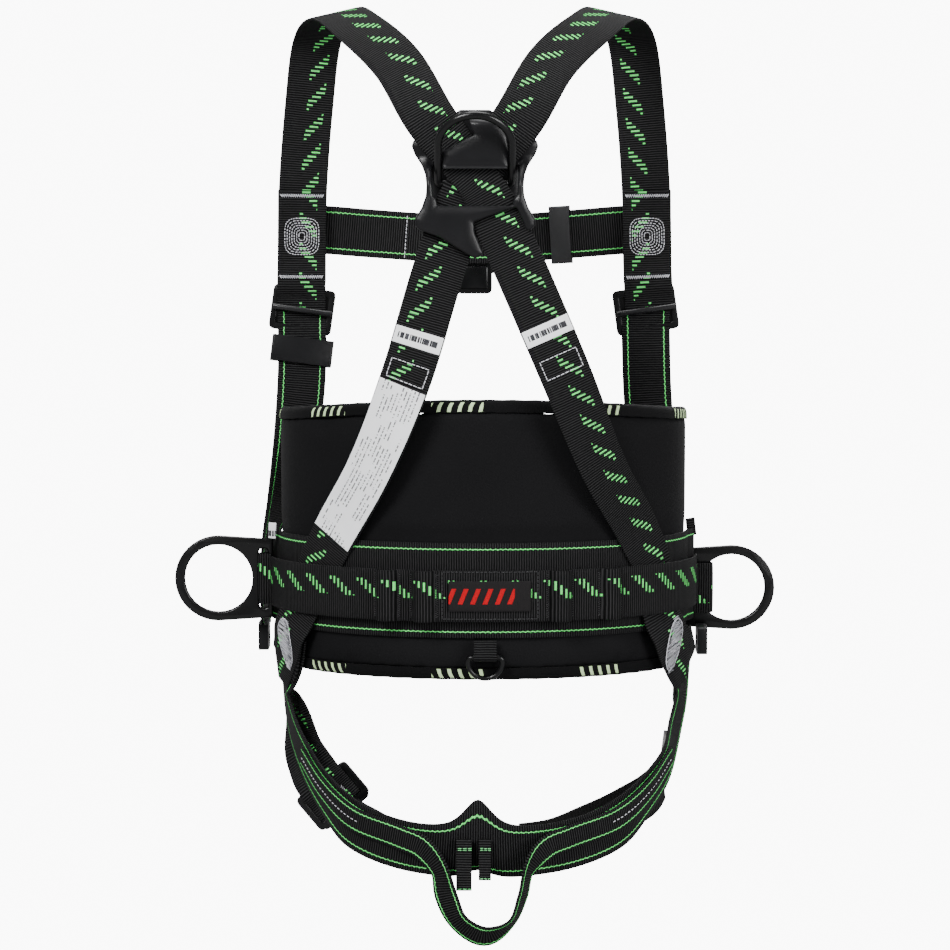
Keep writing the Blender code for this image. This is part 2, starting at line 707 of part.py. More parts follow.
def slide_bar(name, place):
    """A loose round bar that lies across a frame and pinches the webbing against its rail."""
    curve = bpy.data.curves.new(name, "CURVE")
    curve.dimensions = "3D"
    curve.bevel_depth = SLIDE_BAR_RADIUS
    curve.bevel_resolution = 3
    curve.use_fill_caps = True
    spline = curve.splines.new("POLY")
    spline.points.add(1)
    spline.points[0].co = (-SLIDE_BAR_LENGTH / 2, 0, 0, 1)
    spline.points[1].co = (SLIDE_BAR_LENGTH / 2, 0, 0, 1)
    return add_part(name, curve, "coated_metal", place)


def keeper(name, place, width, thick, length, key="black_plastic"):
    """A flat sleeve that holds a strap's loose end; its local z axis runs along the strap."""
    curve = flat_curve(name, length)
    outline_spline(curve, rectangle(-width / 2, -thick / 2, width / 2, thick / 2), 0.0015)
    outline_spline(curve, rectangle(-width / 2 + 0.003, -thick / 2 + 0.0016, width / 2 - 0.003, thick / 2 - 0.0016))
    return add_part(name, curve, key, place)


def facing_place(at, x_axis, y_axis):
    """A placement with the given local x and y directions."""
    x = Vector(x_axis).normalized()
    z = x.cross(Vector(y_axis)).normalized()
    y = z.cross(x)
    turn = Matrix((x, y, z)).transposed().to_4x4()
    return Matrix.Translation(at) @ turn


def build_shoulder_buckles():
    for side, sign in (("left", -1), ("right", 1)):
        x = -0.1685 if sign < 0 else 0.1515
        across = (1, 0, sign * math.tan(math.radians(8)))
        place = facing_place((x, 0.1663, 0.2410), across, (0, 0.08, 1))
        buckle_frame("shoulder_buckle_" + side, place)
        bar = facing_place((x, 0.1663 - 0.0054, 0.2410), across, (0, 0.08, 1))
        slide_bar("shoulder_slide_bar_" + side, bar)
    keeper(
        "shoulder_keeper_left", facing_place((-0.1687, 0.1612, 0.2030), (1, 0.15, 0), (0, 1, -0.17)),
        0.057, 0.0100, 0.024,
    )


def build_chest_buckle():
    frame = facing_place((-0.0085, 0.2040, 0.2900), (0, 0, 1), (1, 0, 0))
    buckle_frame("chest_buckle_frame", frame, 0.070, 0.034, 0.056)
    plate = facing_place((0.0095, 0.2084, 0.3000), (0, 0, 1), (-1, 0, 0))
    buckle_plate("chest_buckle_plate", plate)
    along = Vector((-0.970, 0.243, -0.075))
    at = Vector((0.0730, 0.19335, 0.3105))
    keeper("chest_keeper", facing_place(at, (-0.06, 0, 1), along.cross(Vector((0, 0, 1)))), 0.054, 0.0075, 0.019)


def build_waist_buckle():
    front = WAIST_CENTRE_Y + WAIST_HALF_DEPTH + 0.004
    frame = facing_place((-0.0085, front, BELT_Z), (0, 0, 1), (1, 0, 0))
    buckle_frame("waist_buckle_frame", frame, BUCKLE_WIDTH, 0.034)
    plate = facing_place((0.0095, front + 0.0044, BELT_Z), (0, 0, 1), (-1, 0, 0))
    buckle_plate("waist_buckle_plate", plate)


def build_leg_buckles():
    along = Vector((0.64, 0, -0.77))
    across = Vector((0.77, 0, 0.64))
    centre = Vector((-0.1365, 0.0575, -0.1965))
    buckle_frame("leg_buckle_frame_left", facing_place(centre, across, along), BUCKLE_WIDTH, 0.038)
    back = centre + Vector((0, 0.0044, 0)) + along * 0.0190
    buckle_plate("leg_buckle_plate_left", facing_place(back, across, -along))
    centre = Vector((0.1725, 0.0985, -0.1580))
    along = Vector((-0.12, 0, -1))
    buckle_frame("leg_buckle_frame_right", facing_place(centre, (0, 1, 0), along), BUCKLE_WIDTH, 0.038)
    back = centre + Vector((-0.0044, 0, 0)) + along * 0.0190
    buckle_plate("leg_buckle_plate_right", facing_place(back, (0, 1, 0), -along))


def build_hip_adjusters():
    for side, at in (("left", (-0.2030, 0.1300, -0.0590)), ("right", (0.2040, 0.1085, -0.0700))):
        place = facing_place(at, (0, 1, 0), (0, 0, 1))
        adjuster = flat_curve("hip_adjuster_" + side, 0.009)
        outline_spline(adjuster, rectangle(-0.015, -0.0130, 0.015, 0.0130), 0.005)
        outline_spline(adjuster, rectangle(-0.0085, -0.0050, 0.0085, 0.0040), 0.001)
        add_part("hip_adjuster_" + side, adjuster, "black_plastic", place)


def build_small_tags():
    strap(
        "size_tag", [((-0.1925, 0.0960, 0.0490), (-0.2, -1, 0)), ((-0.1930, 0.0960, 0.0345), (-0.2, -1, 0))],
        0.007, 0.0008, "white_label",
    )
    strap(
        "belt_loop_right", [((0.1900, 0.1180, 0.0510), (1, -0.4, 0)), ((0.1932, 0.1180, 0.0350), (1, -0.4, 0))],
        0.009, 0.0025,
    )


for build in (
    build_pad, build_belt, build_front_belt, build_crossing_straps, build_front_straps,
    build_chest_strap, build_leg_straps, build_labels, build_dorsal, build_side_rings,
    build_utility_ring, build_shoulder_buckles, build_chest_buckle, build_waist_buckle,
    build_leg_buckles, build_hip_adjusters, build_small_tags,
):
    build()
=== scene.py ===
import math
import random

import bpy
import numpy as np
from mathutils import Matrix, Vector


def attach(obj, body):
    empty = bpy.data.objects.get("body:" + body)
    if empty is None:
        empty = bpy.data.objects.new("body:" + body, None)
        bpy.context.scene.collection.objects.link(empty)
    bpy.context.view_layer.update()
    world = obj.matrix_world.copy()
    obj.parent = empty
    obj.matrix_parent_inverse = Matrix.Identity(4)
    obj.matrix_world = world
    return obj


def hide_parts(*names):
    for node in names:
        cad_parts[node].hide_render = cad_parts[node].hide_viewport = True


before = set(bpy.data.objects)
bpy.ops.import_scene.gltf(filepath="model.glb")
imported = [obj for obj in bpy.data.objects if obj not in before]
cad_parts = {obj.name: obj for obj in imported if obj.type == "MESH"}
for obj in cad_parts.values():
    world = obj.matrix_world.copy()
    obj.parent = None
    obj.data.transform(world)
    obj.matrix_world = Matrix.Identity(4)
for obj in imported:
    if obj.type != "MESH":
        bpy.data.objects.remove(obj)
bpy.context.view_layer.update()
bpy.ops.object.select_all(action="DESELECT")
scene = bpy.context.scene

# the camera, the floor and the studio lights

studio = {
    "target": Vector((-0.0075, 0.0, 0.101)), "distance": 2.6, "elevation": 5.0, "lens": 111.96,
    "floor": -0.325, "floorReach": 5.0, "world": 0.34, "seen": 10.0,
}


def addCamera():
    rise = math.radians(studio["elevation"])
    away = Vector((0, -math.cos(rise), math.sin(rise))) * studio["distance"]
    bpy.ops.object.camera_add(location=studio["target"] + away)
    camera = bpy.context.object
    camera.data.lens = studio["lens"]
    camera.data.sensor_width = 36
    camera.rotation_euler = (-away).to_track_quat("-Z", "Y").to_euler()
    scene.camera = camera


def addLight(name, place, size, power):
    bpy.ops.object.light_add(type="AREA", location=place)
    light = bpy.context.object
    light.name = name
    light.data.size = size
    light.data.energy = power
    light.rotation_euler = (studio["target"] - Vector(place)).to_track_quat("-Z", "Y").to_euler()


addCamera()
addLight("keyLight", (-1.6, -2.4, 2.2), 1.2, 165)
addLight("fillLight", (2.2, -2.0, 0.9), 1.4, 85)
addLight("topLight", (0.1, 0.4, 2.8), 1.6, 70)
addLight("rimLight", (-1.4, 1.8, 1.2), 1.0, 14)
addLight("frontLight", (1.5, 2.2, 1.4), 1.2, 40)
print("camera and lights placed")

# materials


def maths(tree, operation, *values):
    made = tree.nodes.new("ShaderNodeMath")
    made.operation = operation
    for index, value in enumerate(values):
        if isinstance(value, (int, float)):
            made.inputs[index].default_value = value
        else:
            tree.links.new(value, made.inputs[index])
    return made.outputs[0]


def times(tree, first, second):
    return maths(tree, "MULTIPLY", first, second)


def plus(tree, first, second):
    return maths(tree, "ADD", first, second)


def mixed(tree, share, first, second):
    made = tree.nodes.new("ShaderNodeMix")
    made.data_type = "RGBA"
    tree.links.new(share, made.inputs["Factor"])
    for socket, value in ((made.inputs["A"], first), (made.inputs["B"], second)):
        if isinstance(value, tuple):
            socket.default_value = (*value, 1)
        else:
            tree.links.new(value, socket)
    return made.outputs["Result"]


def noise(tree, where, scale, detail=3.0):
    made = tree.nodes.new("ShaderNodeTexNoise")
    made.inputs["Scale"].default_value = scale
    made.inputs["Detail"].default_value = detail
    tree.links.new(where, made.inputs["Vector"])
    return made.outputs["Fac"]


def startMaterial(name, roughness, metal=0.0, sheen=0.0, specular=0.22):
    material = bpy.data.materials.new(name)
    material.use_nodes = True
    tree = material.node_tree
    shader = tree.nodes["Principled BSDF"]
    shader.inputs["Roughness"].default_value = roughness
    shader.inputs["Metallic"].default_value = metal
    shader.inputs["Specular IOR Level"].default_value = specular
    shader.inputs["Sheen Weight"].default_value = sheen
    where = tree.nodes.new("ShaderNodeTexCoord")
    return material, tree, shader, where


def bumped(tree, shader, height, strength, distance):
    bump = tree.nodes.new("ShaderNodeBump")
    bump.inputs["Strength"].default_value = strength
    bump.inputs["Distance"].default_value = distance
    tree.links.new(height, bump.inputs["Height"])
    tree.links.new(bump.outputs["Normal"], shader.inputs["Normal"])


def within(tree, value, middle, half):
    return maths(tree, "COMPARE", value, middle, half)


# The rib highlight colour is a painted highlight, laid on the crests of the webbing ribs.
weave = {
    "rib": 0.0022, "black": (0.0006, 0.0006, 0.0007), "ribHighlight": (0.030, 0.030, 0.031),
    # The trough shade green is the mark colour painted darker in the rib troughs as shade.
    "green": (0.170, 0.950, 0.215), "greenTroughShade": (0.070, 0.520, 0.120),
    "rowPitch": 0.0040, "dashThick": 0.0016, "dashLong": 0.0080, "dashStep": 0.0034, "dashRepeat": 0.0240,
    "stripeMiddle": 0.0060, "stripeHalf": 0.0080, "lineHalf": 0.00048, "lineWave": 0.0003,
}


# Along the strap is U and across it is V, both in metres.
def webbingMaterial(name, dashes=False, lineAt=0.0):
    w = weave
    material, tree, shader, where = startMaterial(name, 0.62, specular=0.07)
    split = tree.nodes.new("ShaderNodeSeparateXYZ")
    tree.links.new(where.outputs["UV"], split.inputs[0])
    along, across = split.outputs["X"], split.outputs["Y"]
    blotch = noise(tree, where.outputs["Object"], 60)
    wander = times(tree, maths(tree, "SUBTRACT", blotch, 0.5), 0.0008)
    rib = maths(
        tree, "ABSOLUTE", maths(tree, "SINE", times(tree, plus(tree, along, wander), math.pi / w["rib"])),
    )
    warp = maths(tree, "SINE", times(tree, across, 2 * math.pi / 0.0010))
    fibre = noise(tree, where.outputs["Object"], 2500)
    # Painted highlight: the rib crests are coloured lighter, broken up by fibre noise.
    ribHighlight = times(tree, maths(tree, "POWER", rib, 5.0), plus(tree, 0.35, times(tree, fibre, 1.0)))
    colour = mixed(tree, ribHighlight, w["black"], w["ribHighlight"])
    marks = []
    if dashes:
        place = maths(tree, "DIVIDE", along, w["rowPitch"])
        row = maths(tree, "FLOOR", place)
        inRow = within(tree, maths(tree, "FRACT", place), 0.5, 0.5 * w["dashThick"] / w["rowPitch"])
        inStripe = within(tree, across, w["stripeMiddle"], w["stripeHalf"])
        slid = maths(tree, "SUBTRACT", across, times(tree, row, w["dashStep"]))
        slid = plus(tree, slid, times(tree, wander, 0.8))
        phase = maths(tree, "FLOORED_MODULO", slid, w["dashRepeat"])
        marks.append(
            times(tree, times(tree, inRow, inStripe), maths(tree, "LESS_THAN", phase, w["dashLong"]))
        )
    if lineAt:
        wave = times(
            tree, maths(tree, "SINE", times(tree, along, 2 * math.pi / (2 * w["rib"]))), w["lineWave"],
        )
        offset = maths(tree, "SUBTRACT", maths(tree, "ABSOLUTE", across), wave)
        marks.append(within(tree, offset, lineAt, w["lineHalf"]))
    for mark in marks:
        # Painted highlight and shade: each green mark is lighter on the rib crests and darker in the rib
        # troughs, with some fibre noise.
        shade = mixed(
            tree, plus(tree, times(tree, rib, 0.7), times(tree, fibre, 0.3)), w["greenTroughShade"], w["green"],
        )
        colour = mixed(tree, mark, colour, shade)
    tree.links.new(colour, shader.inputs["Base Color"])
    height = plus(tree, rib, times(tree, warp, 0.12))
    height = plus(tree, height, times(tree, fibre, 0.35))
    for mark in marks:
        height = plus(tree, height, times(tree, mark, 0.6))
    bumped(tree, shader, height, 0.9, 0.0004)
    return material


def coatedMaterial(name, colour, roughness, metal, scuff, grain, coat=0.0):
    material, tree, shader, where = startMaterial(name, roughness, metal)
    shader.inputs["Coat Weight"].default_value = coat
    shader.inputs["Coat Roughness"].default_value = 0.18
    fine = noise(tree, where.outputs["Object"], grain, 6)
    broad = noise(tree, where.outputs["Object"], 45, 4)
    worn = times(
        tree, maths(tree, "GREATER_THAN", plus(tree, times(tree, fine, 0.5), times(tree, broad, 0.5)), 0.60),
        scuff,
    )
    lighter = tuple(min(1, c * 3 + 0.02) for c in colour)
    tone = mixed(tree, times(tree, broad, 0.5), colour, tuple(c * 1.7 for c in colour))
    tree.links.new(mixed(tree, worn, tone, lighter), shader.inputs["Base Color"])
    rough = plus(tree, roughness - 0.06, times(tree, broad, 0.14))
    tree.links.new(rough, shader.inputs["Roughness"])
    bumped(tree, shader, fine, 0.25, 0.0002)
    return material


def padMaterial():
    material, tree, shader, where = startMaterial("padCloth", 0.78, sheen=0.02, specular=0.1)
    shader.inputs["Sheen Roughness"].default_value = 0.4
    knit = tree.nodes.new("ShaderNodeTexVoronoi")
    knit.inputs["Scale"].default_value = 900
    tree.links.new(where.outputs["Object"], knit.inputs["Vector"])
    cloud = noise(tree, where.outputs["Object"], 14, 5)
    tree.links.new(
        mixed(tree, cloud, (0.0026, 0.0026, 0.0030), (0.0050, 0.0050, 0.0056)), shader.inputs["Base Color"],
    )
    height = plus(tree, times(tree, knit.outputs["Distance"], 0.7), times(tree, cloud, 3.0))
    bumped(tree, shader, height, 0.5, 0.0005)
    return material


# Cloth with rows of plain slanted dashes: groups gives their pitch, slant, width and the gaps between groups.
def markedMaterial(name, ground, ink, groups, roughness=0.75, ribbed=True):
    material, tree, shader, where = startMaterial(name, roughness, sheen=0.02, specular=0.08)
    split = tree.nodes.new("ShaderNodeSeparateXYZ")
    tree.links.new(where.outputs["UV"], split.inputs[0])
    along, across = split.outputs["X"], split.outputs["Y"]
    fibre = noise(tree, where.outputs["Object"], 1800)
    slanted = plus(tree, along, times(tree, across, groups["slant"]))
    bar = maths(tree, "LESS_THAN", maths(tree, "FLOORED_MODULO", slanted, groups["pitch"]), groups["width"])
    inGroup = maths(
        tree, "LESS_THAN",
        maths(tree, "FLOORED_MODULO", plus(tree, along, groups["start"]), groups["repeat"]), groups["span"],
    )
    inHeight = within(tree, across, groups["middle"], groups["half"])
    mark = times(tree, times(tree, bar, inGroup), inHeight)
    cloth = mixed(tree, fibre, ground, tuple(c * 2.2 for c in ground))
    tree.links.new(mixed(tree, mark, cloth, ink), shader.inputs["Base Color"])
    height = plus(tree, fibre, times(tree, mark, 0.8))
    if ribbed:
        rib = maths(tree, "SINE", times(tree, along, 2 * math.pi / 0.0014))
        height = plus(tree, height, times(tree, rib, 0.4))
    bumped(tree, shader, height, 0.6, 0.0003)
    return material


# White printed cloth: rows of broken grey dashes, with a clear margin.
def labelMaterial(name, rowPitch, rowFill, wordScale, cut, ink, blank=0.0, lengthwise=False):
    material, tree, shader, where = startMaterial(name, 0.55, sheen=0.1)
    split = tree.nodes.new("ShaderNodeSeparateXYZ")
    tree.links.new(where.outputs["UV"], split.inputs[0])
    along, across = split.outputs["X"], split.outputs["Y"]
    if lengthwise:
        along, across = across, along
    place = maths(tree, "DIVIDE", along, rowPitch)
    row = maths(tree, "FLOOR", place)
    inRow = within(tree, maths(tree, "FRACT", place), 0.5, rowFill / 2)
    joined = tree.nodes.new("ShaderNodeCombineXYZ")
    tree.links.new(times(tree, row, 7.31), joined.inputs["X"])
    tree.links.new(times(tree, across, wordScale), joined.inputs["Y"])
    words = maths(tree, "GREATER_THAN", noise(tree, joined.outputs[0], 1.0, 1), cut)
    block = tree.nodes.new("ShaderNodeCombineXYZ")
    tree.links.new(times(tree, maths(tree, "FLOOR", maths(tree, "DIVIDE", row, 2)), 3.7), block.inputs["X"])
    tree.links.new(times(tree, across, 36), block.inputs["Y"])
    words = times(tree, words, maths(tree, "GREATER_THAN", noise(tree, block.outputs[0], 1.0, 1), blank))
    margin = maths(tree, "LESS_THAN", maths(tree, "ABSOLUTE", along if lengthwise else across), 0.0180)
    mark = times(tree, times(tree, inRow, words), margin)
    cloud = noise(tree, where.outputs["Object"], 90)
    white = mixed(tree, cloud, (0.90, 0.91, 0.93), (0.98, 0.98, 1.0))
    tree.links.new(mixed(tree, mark, white, ink), shader.inputs["Base Color"])
    bumped(
        tree, shader, plus(tree, cloud, times(tree, noise(tree, where.outputs["Object"], 1500), 0.3)), 0.3,
        0.0006,
    )
    return material


def threadMaterial(name, colour):
    material, tree, shader, where = startMaterial(name, 0.6, sheen=0.2)
    twist = noise(tree, where.outputs["Object"], 3000)
    tree.links.new(mixed(tree, twist, tuple(c * 0.6 for c in colour), colour), shader.inputs["Base Color"])
    bumped(tree, shader, twist, 0.4, 0.0002)
    return material


stripes = {
    "binding": {
        "slant": -0.45, "pitch": 0.0082, "width": 0.0030, "start": 0.012, "repeat": 0.118, "span": 0.041,
        "middle": 0.0, "half": 0.0030,
    },
    "patch": {
        "slant": -0.40, "pitch": 0.0108, "width": 0.0042, "start": 0.0, "repeat": 1.0, "span": 0.058,
        "middle": 0.0, "half": 0.0068,
    },
}
finishes = {
    "dashed": webbingMaterial("dashedWebbing", dashes=True),
    "lined": webbingMaterial("linedWebbing", lineAt=0.0168),
    "bandLined": webbingMaterial("bandWebbing", lineAt=0.0365),
    "plain": webbingMaterial("plainWebbing"),
    "loopLined": webbingMaterial("loopWebbing", lineAt=0.0080),
    "pad": padMaterial(),
    "binding": markedMaterial("bindingTape", (0.0014, 0.0014, 0.0016), (0.52, 0.70, 0.38),
        stripes["binding"]),
    "patch": markedMaterial("blackPatch", (0.0070, 0.0065, 0.0068), (0.40, 0.003, 0.008),
        stripes["patch"]),
    "label": labelMaterial("printedLabel", 0.0036, 0.34, 620, 0.48, (0.10, 0.10, 0.11), 0.47, True),
    "shortLabel": labelMaterial("indicatorLabel", 0.0200, 0.26, 700, 0.44, (0.03, 0.03, 0.035)),
    "metal": coatedMaterial("satinBlackMetal", (0.0016, 0.0016, 0.0019), 0.27, 0.0, 0.08, 900, 0.2),
    "brightEdge": coatedMaterial("barMetal", (0.012, 0.012, 0.013), 0.26, 0.3, 0.2, 900, 0.3),
    "plastic": coatedMaterial("satinBlackPlastic", (0.0050, 0.0050, 0.0057), 0.34, 0.0, 0.05, 1400),
    "grey": coatedMaterial("greyPlastic", (0.020, 0.020, 0.021), 0.34, 0.0, 0.1, 1400),
    "whiteThread": threadMaterial("whiteThread", (0.82, 0.82, 0.88)),
    "greenThread": threadMaterial("greenThread", (0.150, 0.680, 0.215)),
    "darkThread": threadMaterial("blackThread", (0.020, 0.020, 0.022)),
}
print("materials made")

# webbing: a grid laid along a route, then given its thickness and soft edges

body = {
    "halfWidth": 0.174, "halfDepth": 0.115, "centreY": 0.115, "web": 0.045, "thick": 0.0020,
    "pad": 0.012, "padReach": 92.0, "padTop": 0.158, "padTopSide": 0.144, "padBottom": -0.070,
    "beltZ": -0.004, "beltOffset": 0.0216, "bandOffset": 0.0134, "hipOffsets": (0.0166, 0.0204, 0.0242),
}
middleLine = {
    "heights": (-0.222, -0.210, -0.170, -0.100, -0.050, 0.050, 0.105, 0.190, 0.275, 0.355),
    "back": (0.0, 0.001, 0.003, 0.003, 0.0, 0.0, 0.003, 0.0025, -0.003, -0.008),
    "chest": (0.0, 0.0, 0.0, 0.0, 0.0, -0.0015, -0.003, -0.0055, -0.008, -0.008),
}


def waist(angle, offset, z):
    turn = math.radians(angle)
    return (
        (body["halfWidth"] + offset) * math.sin(turn),
        body["centreY"] - (body["halfDepth"] + offset) * math.cos(turn), z,
    )


def waistFacing(angle):
    turn = math.radians(angle)
    return tuple(
        Vector((body["halfDepth"] * math.sin(turn), -body["halfWidth"] * math.cos(turn), 0)).normalized()
    )


def otherSide(stations):
    turned = []
    for (x, y, z), (nx, ny, nz), *rest in stations:
        shifts = middleLine["chest"] if y > body["centreY"] else middleLine["back"]
        turned.append(((2 * np.interp(z, middleLine["heights"], shifts) - x, y, z), (-nx, ny, nz), *rest))
    return turned


def smoothCurve(values, knots, at):
    values = np.array(values, float)
    slopes = np.gradient(values, knots, axis=0)
    first = np.clip(np.searchsorted(knots, at, side="right") - 1, 0, len(values) - 2)
    span = (knots[first + 1] - knots[first])[:, None]
    t = (at - knots[first])[:, None] / span
    a, b = values[first], values[first + 1]
    return (a * (2 * t**3 - 3 * t**2 + 1) + slopes[first] * span * (t**3 - 2 * t**2 + t)
            + b * (3 * t**2 - 2 * t**3) + slopes[first + 1] * span * (t**3 - t**2))


# Rows along the route: the middle, the side direction, the outward direction and the width.
def layRoute(stations, width, row):
    points = np.array([station[0] for station in stations], float)
    widths = [[station[2] if len(station) > 2 else width] for station in stations]
    knots = np.concatenate([[0], np.cumsum(np.linalg.norm(np.diff(points, axis=0), axis=1))])
    at = np.linspace(0, knots[-1], max(4, round(knots[-1] / row) + 1))
    middle = smoothCurve(points, knots, at)
    ahead = np.gradient(middle, axis=0)
    side = np.cross(ahead, smoothCurve([station[1] for station in stations], knots, at))
    side /= np.linalg.norm(side, axis=1)[:, None]
    out = np.cross(side, ahead)
    out /= np.linalg.norm(out, axis=1)[:, None]
    lengths = np.concatenate([[0], np.cumsum(np.linalg.norm(np.diff(middle, axis=0), axis=1))])
    return {
        "middle": middle, "side": side, "out": out, "width": smoothCurve(widths, knots, at)[:, 0],
        "along": lengths,
    }


def only(piece):
    bpy.ops.object.select_all(action="DESELECT")
    piece.select_set(True)
    bpy.context.view_layer.objects.active = piece


def applied(piece):
    only(piece)
    for modifier in list(piece.modifiers):
        bpy.ops.object.modifier_apply(modifier=modifier.name)


# A grid whose points and chart positions follow from the row and the column, each from 0 to 1.
def gridOf(name, rows, columns, place, chart):
    bpy.ops.mesh.primitive_grid_add(
        x_subdivisions=rows - 1, y_subdivisions=columns - 1, size=1, location=(0, 0, 0),
    )
    piece = bpy.context.object
    piece.name = piece.data.name = name
    uv = piece.data.uv_layers[0]
    uv.name = "weave"
    for loop in piece.data.loops:
        start = piece.data.vertices[loop.vertex_index].co
        uv.data[loop.index].uv = chart(start.x + 0.5, start.y + 0.5)
    for vertex in piece.data.vertices:
        vertex.co = place(vertex.co.x + 0.5, vertex.co.y + 0.5)
    return piece


def thicken(piece, thick, rounding, steps=2):
    shell = piece.modifiers.new("thickness", "SOLIDIFY")
    shell.thickness = thick
    shell.offset = 0
    shell.use_even_offset = True
    soft = piece.modifiers.new("softEdge", "BEVEL")
    soft.width = rounding
    soft.segments = steps
    soft.limit_method = "ANGLE"
    soft.angle_limit = math.radians(50)
    applied(piece)
    bpy.ops.object.mode_set(mode="EDIT")
    bpy.ops.mesh.select_all(action="SELECT")
    bpy.ops.mesh.normals_make_consistent(inside=False)
    bpy.ops.object.mode_set(mode="OBJECT")
    bpy.ops.object.shade_smooth_by_angle(angle=math.radians(40))


def dress(piece, finish, rides="harness", replaces=()):
    piece.data.materials.clear()
    piece.data.materials.append(finishes[finish])
    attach(piece, rides)
    if replaces:
        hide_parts(*replaces)


# A strap along a route. The edges curl in by crown; flip turns its pattern over to the other edge.
def layWebbing(name, stations, finish, replaces, width=None, thick=None, rides="harness", row=0.004,
               flip=1, phase=0.0, crown=0.0004, columns=9):
    path = layRoute(stations, width or body["web"], row)
    count = len(path["middle"])
    total = path["along"][-1]

    def spot(along, across, lift=0.0):
        at = np.interp(along, path["along"], np.arange(count))
        low = min(int(at), count - 2)
        share = at - low
        mixedRow = {
            key: path[key][low] * (1 - share) + path[key][low + 1] * share
            for key in ("middle", "side", "out")
        }
        return Vector(mixedRow["middle"] + mixedRow["side"] * across + mixedRow["out"] * lift)

    def place(x, y):
        at = round(x * (count - 1))
        reach = path["width"][at]
        curl = crown * abs(2 * y - 1) ** 4
        return Vector(path["middle"][at] + path["side"][at] * reach * (y - 0.5) - path["out"][at] * curl)

    start = phase if phase is not None else 0.010 - total / 2

    def chart(x, y):
        at = round(x * (count - 1))
        return (path["along"][at] + start, flip * (y - 0.5) * (width or body["web"]))

    piece = gridOf(name, count, columns, place, chart)
    thicken(piece, thick or body["thick"], 0.0006)
    dress(piece, finish, rides, replaces)
    return {"piece": piece, "spot": spot, "total": total, "path": path}


# How far along a strap its middle passes this height, on the wearer's back or chest.
def atHeight(strap, z, back=True):
    rows = [i for i, point in enumerate(strap["path"]["middle"]) if (point[1] < body["centreY"]) == back]
    best = min(rows, key=lambda i: abs(strap["path"]["middle"][i][2] - z))
    return strap["path"]["along"][best]


# Sewing thread: each run is a list of places, and all the runs are one piece.
def stitch(name, runs, finish="whiteThread", rides="harness", thick=0.00042):
    bpy.ops.object.select_all(action="DESELECT")
    curve = bpy.data.curves.new(name, "CURVE")
    curve.dimensions = "3D"
    curve.bevel_depth = thick
    curve.bevel_resolution = 1
    curve.use_fill_caps = True
    for run in runs:
        spline = curve.splines.new("POLY")
        spline.points.add(len(run) - 1)
        for point, spot in zip(spline.points, run):
            point.co = (*spot, 1)
    piece = bpy.data.objects.new(name, curve)
    scene.collection.objects.link(piece)
    only(piece)
    bpy.ops.object.convert(target="MESH")
    dress(bpy.context.object, finish, rides, ())
    bpy.ops.object.shade_smooth()
    return bpy.context.object


# Separate stitches along a line of (along, across) places on a strap.
def dashedRun(strap, points, long=0.0026, gap=0.0012, lift=0.0013):
    runs = []
    for (a0, c0), (a1, c1) in zip(points, points[1:]):
        length = math.hypot(a1 - a0, c1 - c0)
        count = max(1, round(length / (long + gap)))
        for index in range(count):
            ends = [(index + share * long / (long + gap)) / count for share in (0, 1)]
            runs.append([strap["spot"](a0 + (a1 - a0) * t, c0 + (c1 - c0) * t, lift) for t in ends])
    return runs


# A bar tack: one thread to and fro across the strap.
def zigzag(strap, along, width, height, count, lift=0.0013, tilt=0.0):
    run = []
    for index in range(count * 2 + 1):
        share = index / (count * 2)
        run.append(
            strap["spot"](
                along + (height / 2 if index % 2 else -height / 2) + tilt * (share - 0.5),
                width * (share - 0.5), lift,
            )
        )
    return [run]


# The corners of a rounded rectangle on a strap.
def roundedLoop(along, halfLong, halfWide, corner, steps=3):
    points = []
    for quarter in range(4):
        signA = 1 if quarter in (0, 3) else -1
        signC = 1 if quarter in (0, 1) else -1
        for step in range(steps + 1):
            turn = math.radians(90 * quarter + 90 * step / steps)
            points.append(
                (
                    along + signA * (halfLong - corner) + corner * math.cos(turn),
                    signC * (halfWide - corner) + corner * math.sin(turn),
                )
            )
    return points + points[:1]


# the straps over the shoulders, crossing on the back

crossing = {"lift": 0.0034, "leftHipTurn": -2.5, "rightHipEnd": -5.0}


